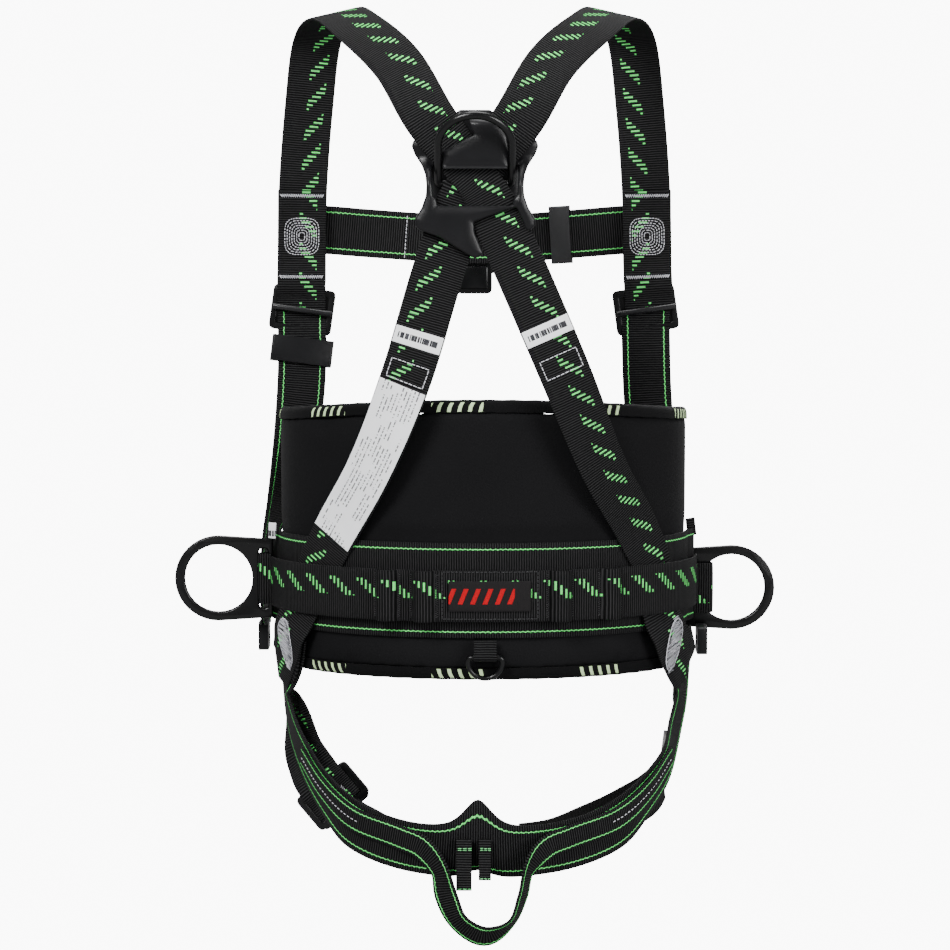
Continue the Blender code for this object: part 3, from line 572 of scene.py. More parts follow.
# From the left chest over the shoulder and through the dorsal plate to the right hip.
def shoulderRoute(lift, hipTurn=0.0, hipEnd=0.0):
    hip = []
    under, _, over = body["hipOffsets"]
    sewn = (
        (0.045, 47, under, 0.045), (0.020, 52, under, 0.045), (-0.005, 57, under, 0.045),
        (-0.029, 61, under + 0.002, 0.045),
        (-0.046, 63, over, 0.045), (-0.060, 65, over, 0.043), (-0.078, 67.5, over, 0.034),
        (-0.094, 70, over, 0.022),
    )
    for z, angle, offset, width in sewn:
        angle += hipTurn * (z + 0.066) / 0.111 + hipEnd * min(1, max(0, (0.020 - z) / 0.050))
        hip.append((waist(angle, offset, z), waistFacing(angle), width))
    return [
        ((-0.1690, 0.1700, 0.266), (0, 1, 0)),
        ((-0.1680, 0.1730, 0.345), (0, 1, 0)),
        ((-0.1620, 0.1810, 0.430), (-0.05, 1, 0.05)),
        ((-0.1550, 0.1690, 0.4830), (-0.15, 0.85, 0.5)),
        ((-0.1330, 0.0950, 0.5100), (-0.26, 0, 1)),
        ((-0.1110, 0.0420, 0.4950), (-0.15, -0.6, 0.8)),
        ((-0.0747, 0.0010, 0.4600), (0, -0.9, 0.4), 0.045),
        ((-0.0437, -0.0235 - lift * 0.6, 0.4080), (0, -1, 0.1), 0.044),
        ((-0.0270, -0.0255 - lift, 0.3860), (0, -1, 0), 0.041),
        ((-0.0125, -0.0268 - lift, 0.3670), (0, -1, 0), 0.037),
        ((-0.0010, -0.0274 - lift, 0.3520), (0, -1, 0), 0.038),
        ((0.0085, -0.0276 - lift, 0.3340), (0, -1, 0), 0.043),
        ((0.0145, -0.0278 - lift, 0.3200), (0, -1, 0), 0.045),
        ((0.0240, -0.0285 - lift, 0.3000), (0, -1, 0), 0.045),
        ((0.0355, -0.0295 - lift, 0.2740), (0, -1, 0), 0.045),
        ((0.0713, -0.0290 - lift / 2, 0.1910), (0.15, -1, 0)),
        ((0.1070, -0.0080, 0.1050), (0.5, -1, 0)),
        *hip,
    ]


leftRoute = otherSide(shoulderRoute(0.0, crossing["leftHipTurn"]))
rightRoute = shoulderRoute(crossing["lift"], hipEnd=crossing["rightHipEnd"])
toRightHip = layWebbing("crossingWebLeft", rightRoute, "dashed", ["crossing_strap_left"], flip=-1)
toLeftHip = layWebbing("crossingWebRight", leftRoute, "dashed", ["crossing_strap_right"], flip=1, phase=0.004)

labelLook = {"width": 0.043, "off": 0.0019, "thick": 0.0006}


# A label on the outer face of a strap, between two heights.
def layLabel(name, node, route, high, low, finish):
    path = layRoute(route, body["web"], 0.005)
    laid = []
    for at, out in zip(path["middle"], path["out"]):
        if low <= at[2] <= high and at[1] < 0.08:
            laid.append((tuple(at + out * labelLook["off"]), tuple(out)))
    return layWebbing(
        name, laid, finish, [node], labelLook["width"], labelLook["thick"], row=0.002, crown=0.0,
        phase=None,
    )


layLabel("indicatorLabelLeft", "indicator_label_left", leftRoute, 0.2290, 0.2110, "shortLabel")
layLabel("indicatorLabelRight", "indicator_label_right", rightRoute, 0.2370, 0.2190, "shortLabel")
layLabel("identityLabel", "identity_label", leftRoute, 0.1850, 0.0400, "label")
for side, strap, z in (("Left", toLeftHip, 0.193), ("Right", toRightHip, 0.200)):
    at = atHeight(strap, z)
    box = [
        (at - 0.008, -0.017), (at - 0.008, 0.017), (at + 0.009, 0.017), (at + 0.009, -0.017),
        (at - 0.008, -0.017),
    ]
    stitch("indicatorStitch" + side, dashedRun(strap, box, 0.0030, 0.0010))
print("crossing straps laid")

# the front of the shoulders and the chest strap

frontRoutes = {
    "doubled": [
        ((-0.1682, 0.1704, 0.352), (0, 1, 0)),
        ((-0.1686, 0.1690, 0.310), (0, 1, 0)),
        ((-0.1689, 0.1674, 0.284), (0, 1, 0)),
        ((-0.1690, 0.1630, 0.268), (0, 1, 0)),
        ((-0.1690, 0.1630, 0.2605), (0, 1, 0)),
        ((-0.1690, 0.1657, 0.2535), (0, 1, 0)),
        ((-0.1690, 0.1657, 0.2470), (0, 1, 0)),
        ((-0.1690, 0.1656, 0.2405), (0, 1, 0)),
    ],
    "left": [
        ((-0.1687, 0.1656, 0.2400), (0, 1, 0)),
        ((-0.1687, 0.1656, 0.2290), (0, 1, 0)),
        ((-0.1686, 0.1628, 0.2220), (0, 1, 0)),
        ((-0.1685, 0.1622, 0.2165), (0, 1, 0)),
        ((-0.1683, 0.1618, 0.2120), (-0.1, 1, 0)),
        ((-0.1684, 0.1605, 0.1990), (-0.15, 1, 0)),
        ((-0.1690, 0.1560, 0.175), (-0.2, 1, 0)),
        ((-0.1770, 0.1480, 0.110), (-0.6, 0.8, 0)),
        ((-0.1905, 0.1450, 0.060), (-1, 0.45, 0)),
        ((-0.2000, 0.1400, 0.020), (-1, 0.2, 0)),
        ((-0.2020, 0.1380, -0.010), (-1, 0.15, 0)),
        ((-0.2020, 0.1340, -0.049), (-1, 0.1, 0)),
    ],
    "right": [
        ((0.1515, 0.1656, 0.2400), (0, 1, 0)),
        ((0.1515, 0.1656, 0.2290), (0, 1, 0)),
        ((0.1515, 0.1628, 0.2220), (0, 1, 0)),
        ((0.1515, 0.1622, 0.2165), (0, 1, 0)),
        ((0.1516, 0.1618, 0.2120), (0.05, 1, 0)),
        ((0.1530, 0.1620, 0.170), (0.15, 1, 0)),
        ((0.1580, 0.1650, 0.110), (0.3, 1, 0)),
        *[
            (waist(angle, 0.0120, z), waistFacing(angle))
            for z, angle in ((0.055, 118), (0.0, 116), (-0.040, 114))
        ],
    ],
}
for side, doubled in (("Left", frontRoutes["doubled"]), ("Right", otherSide(frontRoutes["doubled"]))):
    low = side.lower()
    strap = layWebbing(
        "frontWeb" + side, doubled, "dashed", ["front_strap_" + low], flip=1 if side == "Left" else -1,
        thick=0.0026,
    )
    layWebbing("frontBeltWeb" + side, frontRoutes[low], "lined", ["front_belt_" + low])
    tacks = []
    for edge in (0.005, 0.081):
        tacks += zigzag(strap, edge, 0.0400, 0.0022, 24, lift=-0.0016)
        tacks += zigzag(strap, edge + 0.0005, 0.0390, 0.0024, 19, lift=-0.0018)
    for ring in range(7):
        shrink = ring * 0.0022
        tacks += dashedRun(
            strap, roundedLoop(0.043, 0.0168 - shrink, 0.0158 - shrink, 0.0090 - shrink * 0.55), 0.0019,
            0.0010, lift=-0.0016,
        )
    stitch("shoulderStitch" + side, tacks)
chestHalf = [
    ((-0.1660, 0.1765, 0.3160), (0, 1, 0)),
    ((-0.1450, 0.1790, 0.3150), (-0.1, 1, 0)),
    ((-0.1150, 0.1870, 0.3125), (-0.22, 1, 0)),
    ((-0.0650, 0.1995, 0.3085), (-0.22, 1, 0)),
    ((-0.0300, 0.2040, 0.3060), (0, 1, 0)),
]
chestInner = [
    ((-0.0620, 0.1985, 0.3085), (-0.15, 1, 0)),
    ((-0.0340, 0.2000, 0.3065), (0, 1, 0)),
    ((0.0135, 0.2000, 0.3060), (0, 1, 0)),
]
chestLeft = layWebbing("chestWebLeft", chestHalf[:-2] + chestInner, "lined", ["chest_strap_left"])
layWebbing("chestWebRight", otherSide(chestHalf), "lined", ["chest_strap_right"])
stitch("chestStitch", dashedRun(chestLeft, [(0.096, -0.020), (0.096, 0.020)], lift=-0.0013))
print("front straps laid")

# the padded belt


def padTop(angle):
    return body["padTopSide"] + (
        body["padTop"] - body["padTopSide"]
    ) * math.cos(math.radians(angle * 0.9)) ** 2


# A band round the waist. raised gives how far it stands out at an angle; wave ripples it a little.
def layBand(name, reach, offset, bottom, top, finish, replaces, thick, segments, columns=9, raised=None,
            wave=0.0, heading=1):
    start, end = reach
    angles = np.linspace(start, end, 400)
    arc = np.concatenate(
        [
            [0],
            np.cumsum(
                [
                    (Vector(waist(b, offset, 0)) - Vector(waist(a, offset, 0))).length
                    for a, b in zip(angles, angles[1:])
                ]
            ),
        ]
    )

    def spot(angle, z, lift=0.0):
        out = raised(angle) if raised else 0.0
        ripple = wave * math.sin(angle * 0.55) * math.sin(z * 40 + angle * 0.2)
        return Vector(waist(angle, offset + out + lift + ripple, z))

    def place(x, y):
        angle = start + (end - start) * x
        return spot(angle, bottom(angle) + (top(angle) - bottom(angle)) * y)

    def chart(x, y):
        angle = start + (end - start) * x
        low, high = bottom(angle), top(angle)
        return (heading * float(np.interp(angle, angles, arc)), (high - low) * (y - 0.5))

    piece = gridOf(name, segments, columns, place, chart)
    thicken(piece, thick, min(0.0006, thick * 0.3))
    dress(piece, finish, "harness", replaces)
    return {"piece": piece, "spot": spot, "reach": reach}


padLook = {
    "start": 0.0088, "tuckIn": 0.0030, "voxel": 0.005, "pressure": 4.0, "frames": 20, "cap": 0.0030,
    "capUnderBand": 0.0008, "bandHalf": 0.045,
}


# The pad swells between its bound edges and stays flat under the webbing band.
def buildPad():
    reach, tuckIn = body["padReach"], padLook["tuckIn"]
    piece = gridOf(
        "lumbarPad", 97, 25,
        lambda x, y: Vector(
            waist(
                -reach + 2 * reach * x, body["pad"] / 2,
                body["padBottom"] - tuckIn + (
                    padTop(-reach + 2 * reach * x) - body["padBottom"] + 2 * tuckIn
                ) * y,
            )
        ),
        lambda x, y: (x, y),
    )
    thicken(piece, padLook["start"], 0.0030, 3)
    remesh = piece.modifiers.new("even", "REMESH")
    remesh.mode = "VOXEL"
    remesh.voxel_size = padLook["voxel"]
    applied(piece)
    rest = [vertex.co.copy() for vertex in piece.data.vertices]
    cloth = piece.modifiers.new("swell", "CLOTH")
    cloth.settings.use_pressure = True
    cloth.settings.uniform_pressure_force = padLook["pressure"]
    cloth.settings.effector_weights.gravity = 0
    cloth.settings.mass = 0.3
    cloth.point_cache.frame_end = padLook["frames"]
    for index in range(1, padLook["frames"] + 1):
        scene.frame_set(index)
    applied(piece)
    for vertex, before in zip(piece.data.vertices, rest):
        flat = 1 - min(1, max(0, (abs(before.z) - padLook["bandHalf"]) / 0.012))
        cap = padLook["cap"] * (1 - flat) + padLook["capUnderBand"] * flat
        moved = vertex.co - before
        if moved.length > cap:
            vertex.co = before + moved.normalized() * cap
    scene.frame_set(1)
    finer = piece.modifiers.new("finer", "SUBSURF")
    finer.levels = finer.render_levels = 1
    applied(piece)
    bpy.ops.object.shade_smooth()
    dress(piece, "pad", "harness", ["lumbar_pad"])


buildPad()
print("pad swollen")

bindingLook = {"height": 0.0104, "half": 0.0062, "tuck": 0.0012, "segments": 120}


# Tape folded over the pad's edge: a rounded hood along it.
def layBinding(name, node, edge, sign):
    reach = body["padReach"] + 0.3
    around = 13
    look = bindingLook

    def place(x, y):
        angle = -reach + 2 * reach * x
        turn = math.pi * y
        bow = math.copysign(abs(math.cos(turn)) ** 0.55, math.cos(turn))
        rise = math.sin(turn) ** 0.6 * look["height"] if 0 < y < 1 else 0
        pucker = 0.0002 * math.sin(angle * 3.1)
        return Vector(
            waist(
                angle, body["pad"] / 2 + look["half"] * bow,
                edge(angle) + sign * (rise - look["tuck"] + pucker),
            )
        )

    def chart(x, y):
        return (x * 0.53, (y - 0.14) * 0.024)

    piece = gridOf(name, look["segments"], around, place, chart)
    thicken(piece, 0.0012, 0.0003, 1)
    dress(piece, "binding", "harness", [node])


layBinding("bindingTop", "binding_top", padTop, 1)
layBinding("bindingBottom", "binding_bottom", lambda angle: body["padBottom"], -1)
layBand(
    "lumbarBand", (-92, 92), body["bandOffset"], lambda a: -0.042, lambda a: 0.042, "bandLined",
    ["lumbar_band"], 0.0020, 160, 15, lambda a: max(0, abs(a) - 84) * 0.0008, wave=0.0001,
)

loops = {"angles": (-25.5, -15.4, 20.0, 34.6), "half": 2.8, "rise": 0.009}


def loopRise(angle):
    for middle in loops["angles"]:
        if abs(angle - middle) < loops["half"]:
            return loops["rise"] * math.sqrt(1 - ((angle - middle) / loops["half"]) ** 2)
    return 0.0


half = body["web"] / 2


def beltEdge(rise):
    return lambda angle: body["beltZ"] + rise


belt = layBand("waistBelt", (-80.5, 90.0), body["beltOffset"], beltEdge(-half), beltEdge(half),
               "dashed", ["waist_belt"], 0.0020, 340, 9, loopRise, heading=-1)
layBand("namePatch", (-8.9, 12.1), body["beltOffset"] + 0.0024, beltEdge(-0.013), beltEdge(0.0135),
                "patch", ["name_patch"], 0.0014, 60, 9)
for name, reach in (("beltEndLeft", (-170.5, -101.0)), ("beltEndRight", (107.0, 170.5))):
    layBand(name, reach, 0.004, beltEdge(-half), beltEdge(half),
            "dashed", [name.replace("E", "_e").replace("L", "_l").replace("R", "_r")], 0.0020, 70)


# Separate stitches along a line of (angle, height) places on the belt.
def beltRun(points, lift=0.0015):
    runs = []
    for (a0, z0), (a1, z1) in zip(points, points[1:]):
        length = math.hypot(math.radians(a1 - a0) * 0.19, z1 - z0)
        count = max(1, round(length / 0.0036))
        for index in range(count):
            runs.append(
                [
                    belt["spot"](a0 + (a1 - a0) * t, z0 + (z1 - z0) * t, lift)
                    for t in ((index + 0.1) / count, (index + 0.8) / count)
                ]
            )
    return runs


beltStitches = beltRun([(-10.6, -0.0240), (-10.6, 0.0175), (14.0, 0.0175), (14.0, -0.0240), (-10.6, -0.0240)])
for middle in loops["angles"]:
    for edge in (-1, 1):
        angle = middle + edge * (loops["half"] + 0.5)
        run = [
            belt["spot"](
                angle + (0.35 if index % 2 else -0.35), body["beltZ"] - 0.019 + index * 0.00095, 0.0014,
            )
            for index in range(41)
        ]
        beltStitches.append(run)
stitch("beltStitch", beltStitches, "darkThread")
print("belt laid")

# the seat and the legs


def hipStack(layer):
    return [
        (waist(-angle, body["hipOffsets"][layer], z), waistFacing(-angle))
        for z, angle in ((-0.048, 65), (-0.072, 67))
    ]


legRoutes = {
    "legWebLeft": [
        *hipStack(1),
        ((-0.1784, 0.0812, -0.092), (-1, -0.22, 0)),
        ((-0.1690, 0.0780, -0.130), (-0.9, -0.6, 0)),
        ((-0.1640, 0.0680, -0.157), (-0.6, -0.9, 0)),
        ((-0.1545, 0.0570, -0.1735), (-0.2, -1, 0)),
        ((-0.1480, 0.0541, -0.1828), (0, -1, 0)),
        ((-0.1440, 0.0545, -0.1876), (0, -1, 0)),
        ((-0.1400, 0.0572, -0.1924), (0, -1, 0)),
        ((-0.1290, 0.0574, -0.2055), (0, -1, 0)),
    ],
    "legWebRight": [
        *otherSide(hipStack(1)),
        ((0.1800, 0.0800, -0.098), (1, -0.4, 0)),
        ((0.1785, 0.0940, -0.120), (1, 0, 0)),
        ((0.1785, 0.0985, -0.136), (1, 0, 0)),
        ((0.1776, 0.0985, -0.145), (1, 0, 0)),
        ((0.1732, 0.0985, -0.152), (1, 0, 0)),
        ((0.1718, 0.0985, -0.169), (1, 0, 0)),
    ],
    "legInnerWebLeft": [
        ((-0.1160, 0.0545, -0.2208), (-0.1, -1, 0)),
        ((-0.1040, 0.0400, -0.2220), (-0.1, -1, -0.2)),
        ((-0.0780, 0.0080, -0.2270), (-0.1, -1, -0.3)),
        ((-0.0480, -0.0300, -0.2260), (-0.1, -1, -0.3)),
        ((-0.0250, -0.0560, -0.2220), (-0.1, -1, -0.15)),
    ],
    "legInnerWebRight": [
        ((0.1650, 0.0930, -0.1885), (1, -0.3, 0)),
        ((0.1560, 0.0820, -0.1960), (0.7, -0.7, -0.1)),
        ((0.1250, 0.0480, -0.2080), (0.4, -1, -0.2)),
        ((0.0850, 0.0060, -0.2160), (0.3, -1, -0.3)),
        ((0.0500, -0.0330, -0.2200), (0.1, -1, -0.3)),
        ((0.0280, -0.0560, -0.2200), (0.1, -1, -0.15)),
    ],
}
legNodes = ("leg_strap_left", "leg_strap_right", "leg_strap_inner_left", "leg_strap_inner_right")
legs = {}
for (name, route), node in zip(legRoutes.items(), legNodes):
    legs[name] = layWebbing(name, route, "dashed", [node], flip=-1 if "Left" in name else 1)
seatHalf = [
    *hipStack(0),
    ((-0.1800, 0.0740, -0.104), (-1, -0.15, 0), 0.038),
    ((-0.1728, 0.0570, -0.134), (-0.95, -0.25, -0.1), 0.041),
    ((-0.1590, 0.0310, -0.161), (-0.9, -0.45, -0.2)),
    ((-0.1400, -0.0020, -0.184), (-0.7, -0.68, -0.25)),
    ((-0.1130, -0.0370, -0.2040), (-0.4, -0.93, -0.15)),
    ((-0.0720, -0.0610, -0.2160), (-0.2, -1, -0.15)),
    ((-0.0360, -0.0685, -0.2205), (0, -1, -0.15)),
]
seatOther = otherSide(seatHalf)[::-1]
seatOther[-4:-2] = [
    ((at[0] - 0.005, *at[1:]), (facing[0], facing[1] - 0.25, facing[2]), 0.033)
    for at, facing, *_ in seatOther[-4:-2]
]
seat = layWebbing(
    "seatWeb", seatHalf + [((0, -0.0700, -0.2220), (0, -1, -0.15))] + seatOther, "lined",
    ["sub_pelvic_strap"],
)
pinch = {
    "at": -0.0050, "reach": 0.0150, "skirt": 0.030, "middle": -0.2215, "half": 0.0225, "rise": 0.020,
    "tail": 0.006, "lift": 0.007,
}
for vertex in seat["piece"].data.vertices:
    x, y, z = vertex.co
    if abs(x) < 0.09:
        away = abs(x - pinch["at"])
        level = (z - pinch["middle"]) / pinch["half"]
        share = math.exp(-(away / pinch["reach"]) ** 1.8)
        broad = math.exp(-(away / pinch["skirt"]) ** 2)
        peak = pinch["rise"] * share + pinch["tail"] * broad
        vertex.co.z += max(0, level) ** 1.3 * peak + max(0, -level) * pinch["lift"] * share
        vertex.co.y += 0.003 * share * max(0, level)
loopSewn = {"off": 0.0050, "rise": 0.008, "width": 0.022}
sewn = []
for at, facing, *_ in seatHalf[4:8]:
    sewn.append(
        (
            tuple(
                Vector(at) + Vector(facing).normalized() * loopSewn["off"] + Vector((0, 0, loopSewn["rise"]))
            ),
            facing,
        )
    )
loopHalf = [
    *sewn,
    ((-0.0540, -0.0770, -0.2150), (-0.4, -1, -0.1)),
    ((-0.0385, -0.0845, -0.2330), (-0.7, -0.7, 0)),
    ((-0.0325, -0.0850, -0.2560), (-0.45, -0.9, 0)),
    ((-0.0215, -0.0850, -0.2790), (-0.45, -0.8, -0.35)),
]
loopOther = [
    ((0.0245, -0.0850, -0.2790), (0.8, -0.4, -0.5)),
    ((0.0340, -0.0850, -0.2560), (0.9, -0.4, 0)),
    ((0.0395, -0.0845, -0.2330), (0.9, -0.45, 0)),
    *otherSide(loopHalf[:5])[::-1],
]
seatLoop = layWebbing(
    "seatLoopWeb", loopHalf + [((0.0010, -0.0850, -0.2915), (0.05, -0.85, -0.5))] + loopOther, "loopLined",
    ["seat_loop"], loopSewn["width"],
)
for side, x, z, width in (("left", -0.0171, -0.2520, 0.013), ("right", 0.0010, -0.2430, 0.010)):
    hanging = [
        ((x, -0.0760, -0.2080), (0, -1, 0)), ((x, -0.0790, -0.2300), (0, -1, 0)),
        ((x, -0.0810, z), (0, -1, 0)),
    ]
    finger = layWebbing(
        "strapEnd" + side.capitalize(), hanging, "plain", ["strap_end_" + side], width, 0.0045,
    )
    edges = []
    for along in (0.008, 0.0095):
        edges += dashedRun(finger, [(along, -width / 2), (along, width / 2)], lift=0.0024)
    edges += dashedRun(
        finger, [(finger["total"] - 0.0015, -width / 2), (finger["total"] - 0.0015, width / 2)], lift=0.0024,
    )
    stitch("strapEndStitch" + side.capitalize(), edges, "greenThread")


# A dense sewn oval of crossed threads, with one thread round its edge.
def tangle(strap, along, halfLong, halfWide, count, seed, lean=0.0):
    draw = random.Random(seed)
    run = []
    for index in range(count):
        share = index / (count - 1)
        reach = halfWide * math.sin(math.pi * (0.06 + 0.88 * share)) ** 0.6
        across = reach * (1 if index % 2 else -1) * draw.uniform(0.75, 1.0)
        a = along + (share - 0.5) * 2 * halfLong + draw.uniform(-0.0020, 0.0020)
        run.append(strap["spot"](a, across + lean * (share - 0.5), 0.0014 + draw.uniform(0, 0.0003)))
    edge = []
    for index in range(25):
        turn = 2 * math.pi * index / 24
        edge.append(
            strap["spot"](
                along + halfLong * math.cos(turn), halfWide * math.sin(turn) + lean * 0.5 * math.cos(turn),
                0.0014,
            )
        )
    return [run, edge]


hipStitches = []
for seed, strap, lean in ((3, toLeftHip, -0.020), (4, toRightHip, 0.026)):
    hipStitches += tangle(strap, strap["total"] - 0.0410, 0.0190, 0.0112, 190, seed, lean)
stitch("hipStitch", hipStitches, thick=0.00032)
seam = []
for start, end in ((0.003, 0.105), (seatLoop["total"] - 0.105, seatLoop["total"] - 0.003)):
    steps = np.linspace(start, end, 12)
    seam += dashedRun(seatLoop, [(step, 0.0) for step in steps], 0.0018, 0.0020)
stitch("seatLoopStitch", seam, thick=0.00034)
legTack = []
for step in range(3):
    legTack += zigzag(
        legs["legWebLeft"], legs["legWebLeft"]["total"] - 0.014 + step * 0.0022, 0.0250, 0.0018, 12,
    )
stitch("legTack", legTack)
print("seat and legs laid")

# the hardware: each solid copied, its corners softened


# A copy of the solid with its edges rounded over.
def softened(name, node, finish, rides="harness", width=0.0012, steps=3):
    original = bpy.data.objects[node]
    piece = original.copy()
    piece.data = original.data.copy()
    piece.name = piece.data.name = name
    for key in list(piece.keys()):
        del piece[key]
    scene.collection.objects.link(piece)
    piece.hide_render = False
    only(piece)
    bpy.ops.object.mode_set(mode="EDIT")
    bpy.ops.mesh.select_all(action="SELECT")
    bpy.ops.mesh.remove_doubles(threshold=0.00001)
    bpy.ops.mesh.dissolve_limited(angle_limit=math.radians(1.5))
    bpy.ops.object.mode_set(mode="OBJECT")
    soft = piece.modifiers.new("softEdge", "BEVEL")
    soft.width = width
    soft.segments = steps
    soft.limit_method = "ANGLE"
    soft.angle_limit = math.radians(32)
    soft.use_clamp_overlap = True
    applied(piece)
    bpy.ops.object.shade_smooth_by_angle(angle=math.radians(35))
    dress(piece, finish, rides, [node])
    return piece


# A piece joined into another takes the same finish.
def joinInto(piece, extra, finish):
    extra.data.materials.clear()
    extra.data.materials.append(finishes[finish])
    bpy.ops.object.select_all(action="DESELECT")
    extra.select_set(True)
    piece.select_set(True)
    bpy.context.view_layer.objects.active = piece
    bpy.ops.object.join()


# A thin plate over a frame's whole outline, on its far side.
def fillFrame(piece, node, depth, thick, finish="metal"):
    plate = bpy.data.objects[node].copy()
    plate.data = plate.data.copy()
    for key in list(plate.keys()):
        del plate[key]
    scene.collection.objects.link(plate)
    plate.hide_render = plate.hide_viewport = False
    plate.hide_set(False)
    only(plate)
    bpy.ops.object.mode_set(mode="EDIT")
    bpy.ops.mesh.select_all(action="SELECT")
    bpy.ops.mesh.convex_hull()
    bpy.ops.object.mode_set(mode="OBJECT")
    middle = sum(vertex.co.y for vertex in plate.data.vertices) / len(plate.data.vertices)
    for vertex in plate.data.vertices:
        vertex.co.y = depth + (thick if vertex.co.y > middle else 0.0)
    bpy.ops.object.shade_smooth_by_angle(angle=math.radians(35))
    joinInto(piece, plate, finish)


plateLook = {
    "centre": (-0.0075, 0.3554), "back": -0.0180, "front": -0.0350, "thick": 0.0030, "voxel": 0.0008,
    "swell": 0.0020, "shoulder": 0.0090, "bend": (-0.002, 0.026),
    "frame": [
        (0.013, 0.0642), (0.030, 0.052), (0.046, 0.0425), (0.0535, 0.0375), (0.0550, 0.0330), (0.0525, 0.026),
        (0.0460, 0.016), (0.043, 0.008), (0.0420, -0.001), (0.0425, -0.010), (0.0460, -0.020),
        (0.0520, -0.030),
        (0.0515, -0.0360), (0.0480, -0.0395), (0.030, -0.046), (0.0075, -0.0600), (0.0, -0.0640),
    ],
    "strapSlot": [
        (0.0440, -0.0395), (0.0400, -0.0290), (0.0360, -0.0205), (0.0330, -0.0200), (-0.0010, -0.0325),
        (0.0000, -0.0420),
    ],
    "window": [
        (-0.0325, -0.0185), (-0.0330, -0.0130), (-0.0362, -0.0090), (-0.0372, 0.0040), (-0.0372, 0.0165),
        (0.0372, 0.0165), (0.0372, 0.0040), (0.0362, -0.0090), (0.0330, -0.0130), (0.0325, -0.0185),
    ],
    "tongue": [
        (-0.0280, 0.0130), (-0.0285, 0.0280), (0.0000, 0.0425), (-0.0030, 0.0470), (-0.0060, 0.0560),
        (-0.0060, 0.0640),
        (0.0080, 0.0640), (0.0200, 0.0540), (0.0270, 0.0420), (0.0290, 0.0280), (0.0285, 0.0130),
    ],
    "backing": [(-0.0400, -0.0240), (-0.0400, 0.0200), (0.0400, 0.0200), (0.0400, -0.0240)],
}


def edgeDistance(points, outlines):
    nearest = np.full(len(points), 1.0)
    for outline in outlines:
        corners = np.array(outline)
        for first, second in zip(corners, np.roll(corners, -1, axis=0)):
            run = second - first
            share = np.clip((points - first) @ run / max(run @ run, 1e-12), 0, 1)
            nearest = np.minimum(nearest, np.linalg.norm(points - first - share[:, None] * run, axis=1))
    return nearest


# A flat outline made an even mesh, its front swollen between its edges.
# It is then set at its depth, which may change with height.
def mouldedSheet(name, outlines, depth, thick):
    curve = bpy.data.curves.new(name, "CURVE")
    curve.dimensions = "2D"
    curve.fill_mode = "BOTH"
    curve.extrude = thick / 2
    for outline in outlines:
        spline = curve.splines.new("POLY")
        spline.use_cyclic_u = True
        spline.points.add(len(outline) - 1)
        for point, (x, v) in zip(spline.points, outline):
            point.co = (x, v, 0, 1)
    sheet = bpy.data.objects.new(name, curve)
    scene.collection.objects.link(sheet)
    only(sheet)
    bpy.ops.object.convert(target="MESH")
    sheet = bpy.context.object
    even = sheet.modifiers.new("even", "REMESH")
    even.mode = "VOXEL"
    even.voxel_size = plateLook["voxel"]
    soft = sheet.modifiers.new("soft", "SMOOTH")
    soft.factor = 0.5
    soft.iterations = 5
    applied(sheet)
    x0, z0 = plateLook["centre"]
    distances = edgeDistance(np.array([vertex.co[:2] for vertex in sheet.data.vertices]), outlines)
    for vertex, distance in zip(sheet.data.vertices, distances):
        x, v, out = vertex.co
        swell = plateLook["swell"] * (
            1 - (1 - min(1, distance / plateLook["shoulder"])) ** 2
        ) if out > 0 else 0.0
        vertex.co = (x0 + x, depth(v) - out - swell, z0 + v)
    return sheet


def frameDepth(v):
    low, high = plateLook["bend"]
    share = min(1, max(0, (v - low) / (high - low)))
    share = share * share * (3 - 2 * share)
    return plateLook["front"] + (plateLook["back"] - plateLook["front"]) * share


tongueLook = {
    "thick": 0.0034, "depth": -0.0345, "bendAt": 0.050, "bendLong": 0.012, "bendDeep": 0.016,
    "lipAt": 0.0130, "lipLong": 0.0032, "lipDeep": 0.0034,
}
backingLook = {"thick": 0.0018, "depth": -0.0147}


# The upper edge bends inwards under the straps and the lower edge curls outwards.
def tongueDepth(v):
    look = tongueLook
    share = min(1, max(0, (v - look["bendAt"]) / look["bendLong"]))
    lip = max(0, 1 - (v - look["lipAt"]) / look["lipLong"])
    return look["depth"] + look["bendDeep"] * share * share - look["lipDeep"] * lip * lip


def buildPlate():
    look = plateLook
    outline = look["frame"][:-3] + look["strapSlot"] + look["frame"][-2:] + [
        (-x, v) for x, v in look["frame"][-2::-1]
    ]
    rim = mouldedSheet("dorsalPlate", [outline, look["window"]], frameDepth, look["thick"])
    tongue = mouldedSheet("plateTongue", [look["tongue"]], tongueDepth, tongueLook["thick"])
    backing = mouldedSheet(
        "plateBacking", [look["backing"]], lambda v: backingLook["depth"], backingLook["thick"],
    )
    only(rim)
    tongue.select_set(True)
    backing.select_set(True)
    bpy.ops.object.join()
    bpy.ops.object.shade_smooth()
    dress(bpy.context.object, "plastic", "harness", ["dorsal_plate"])


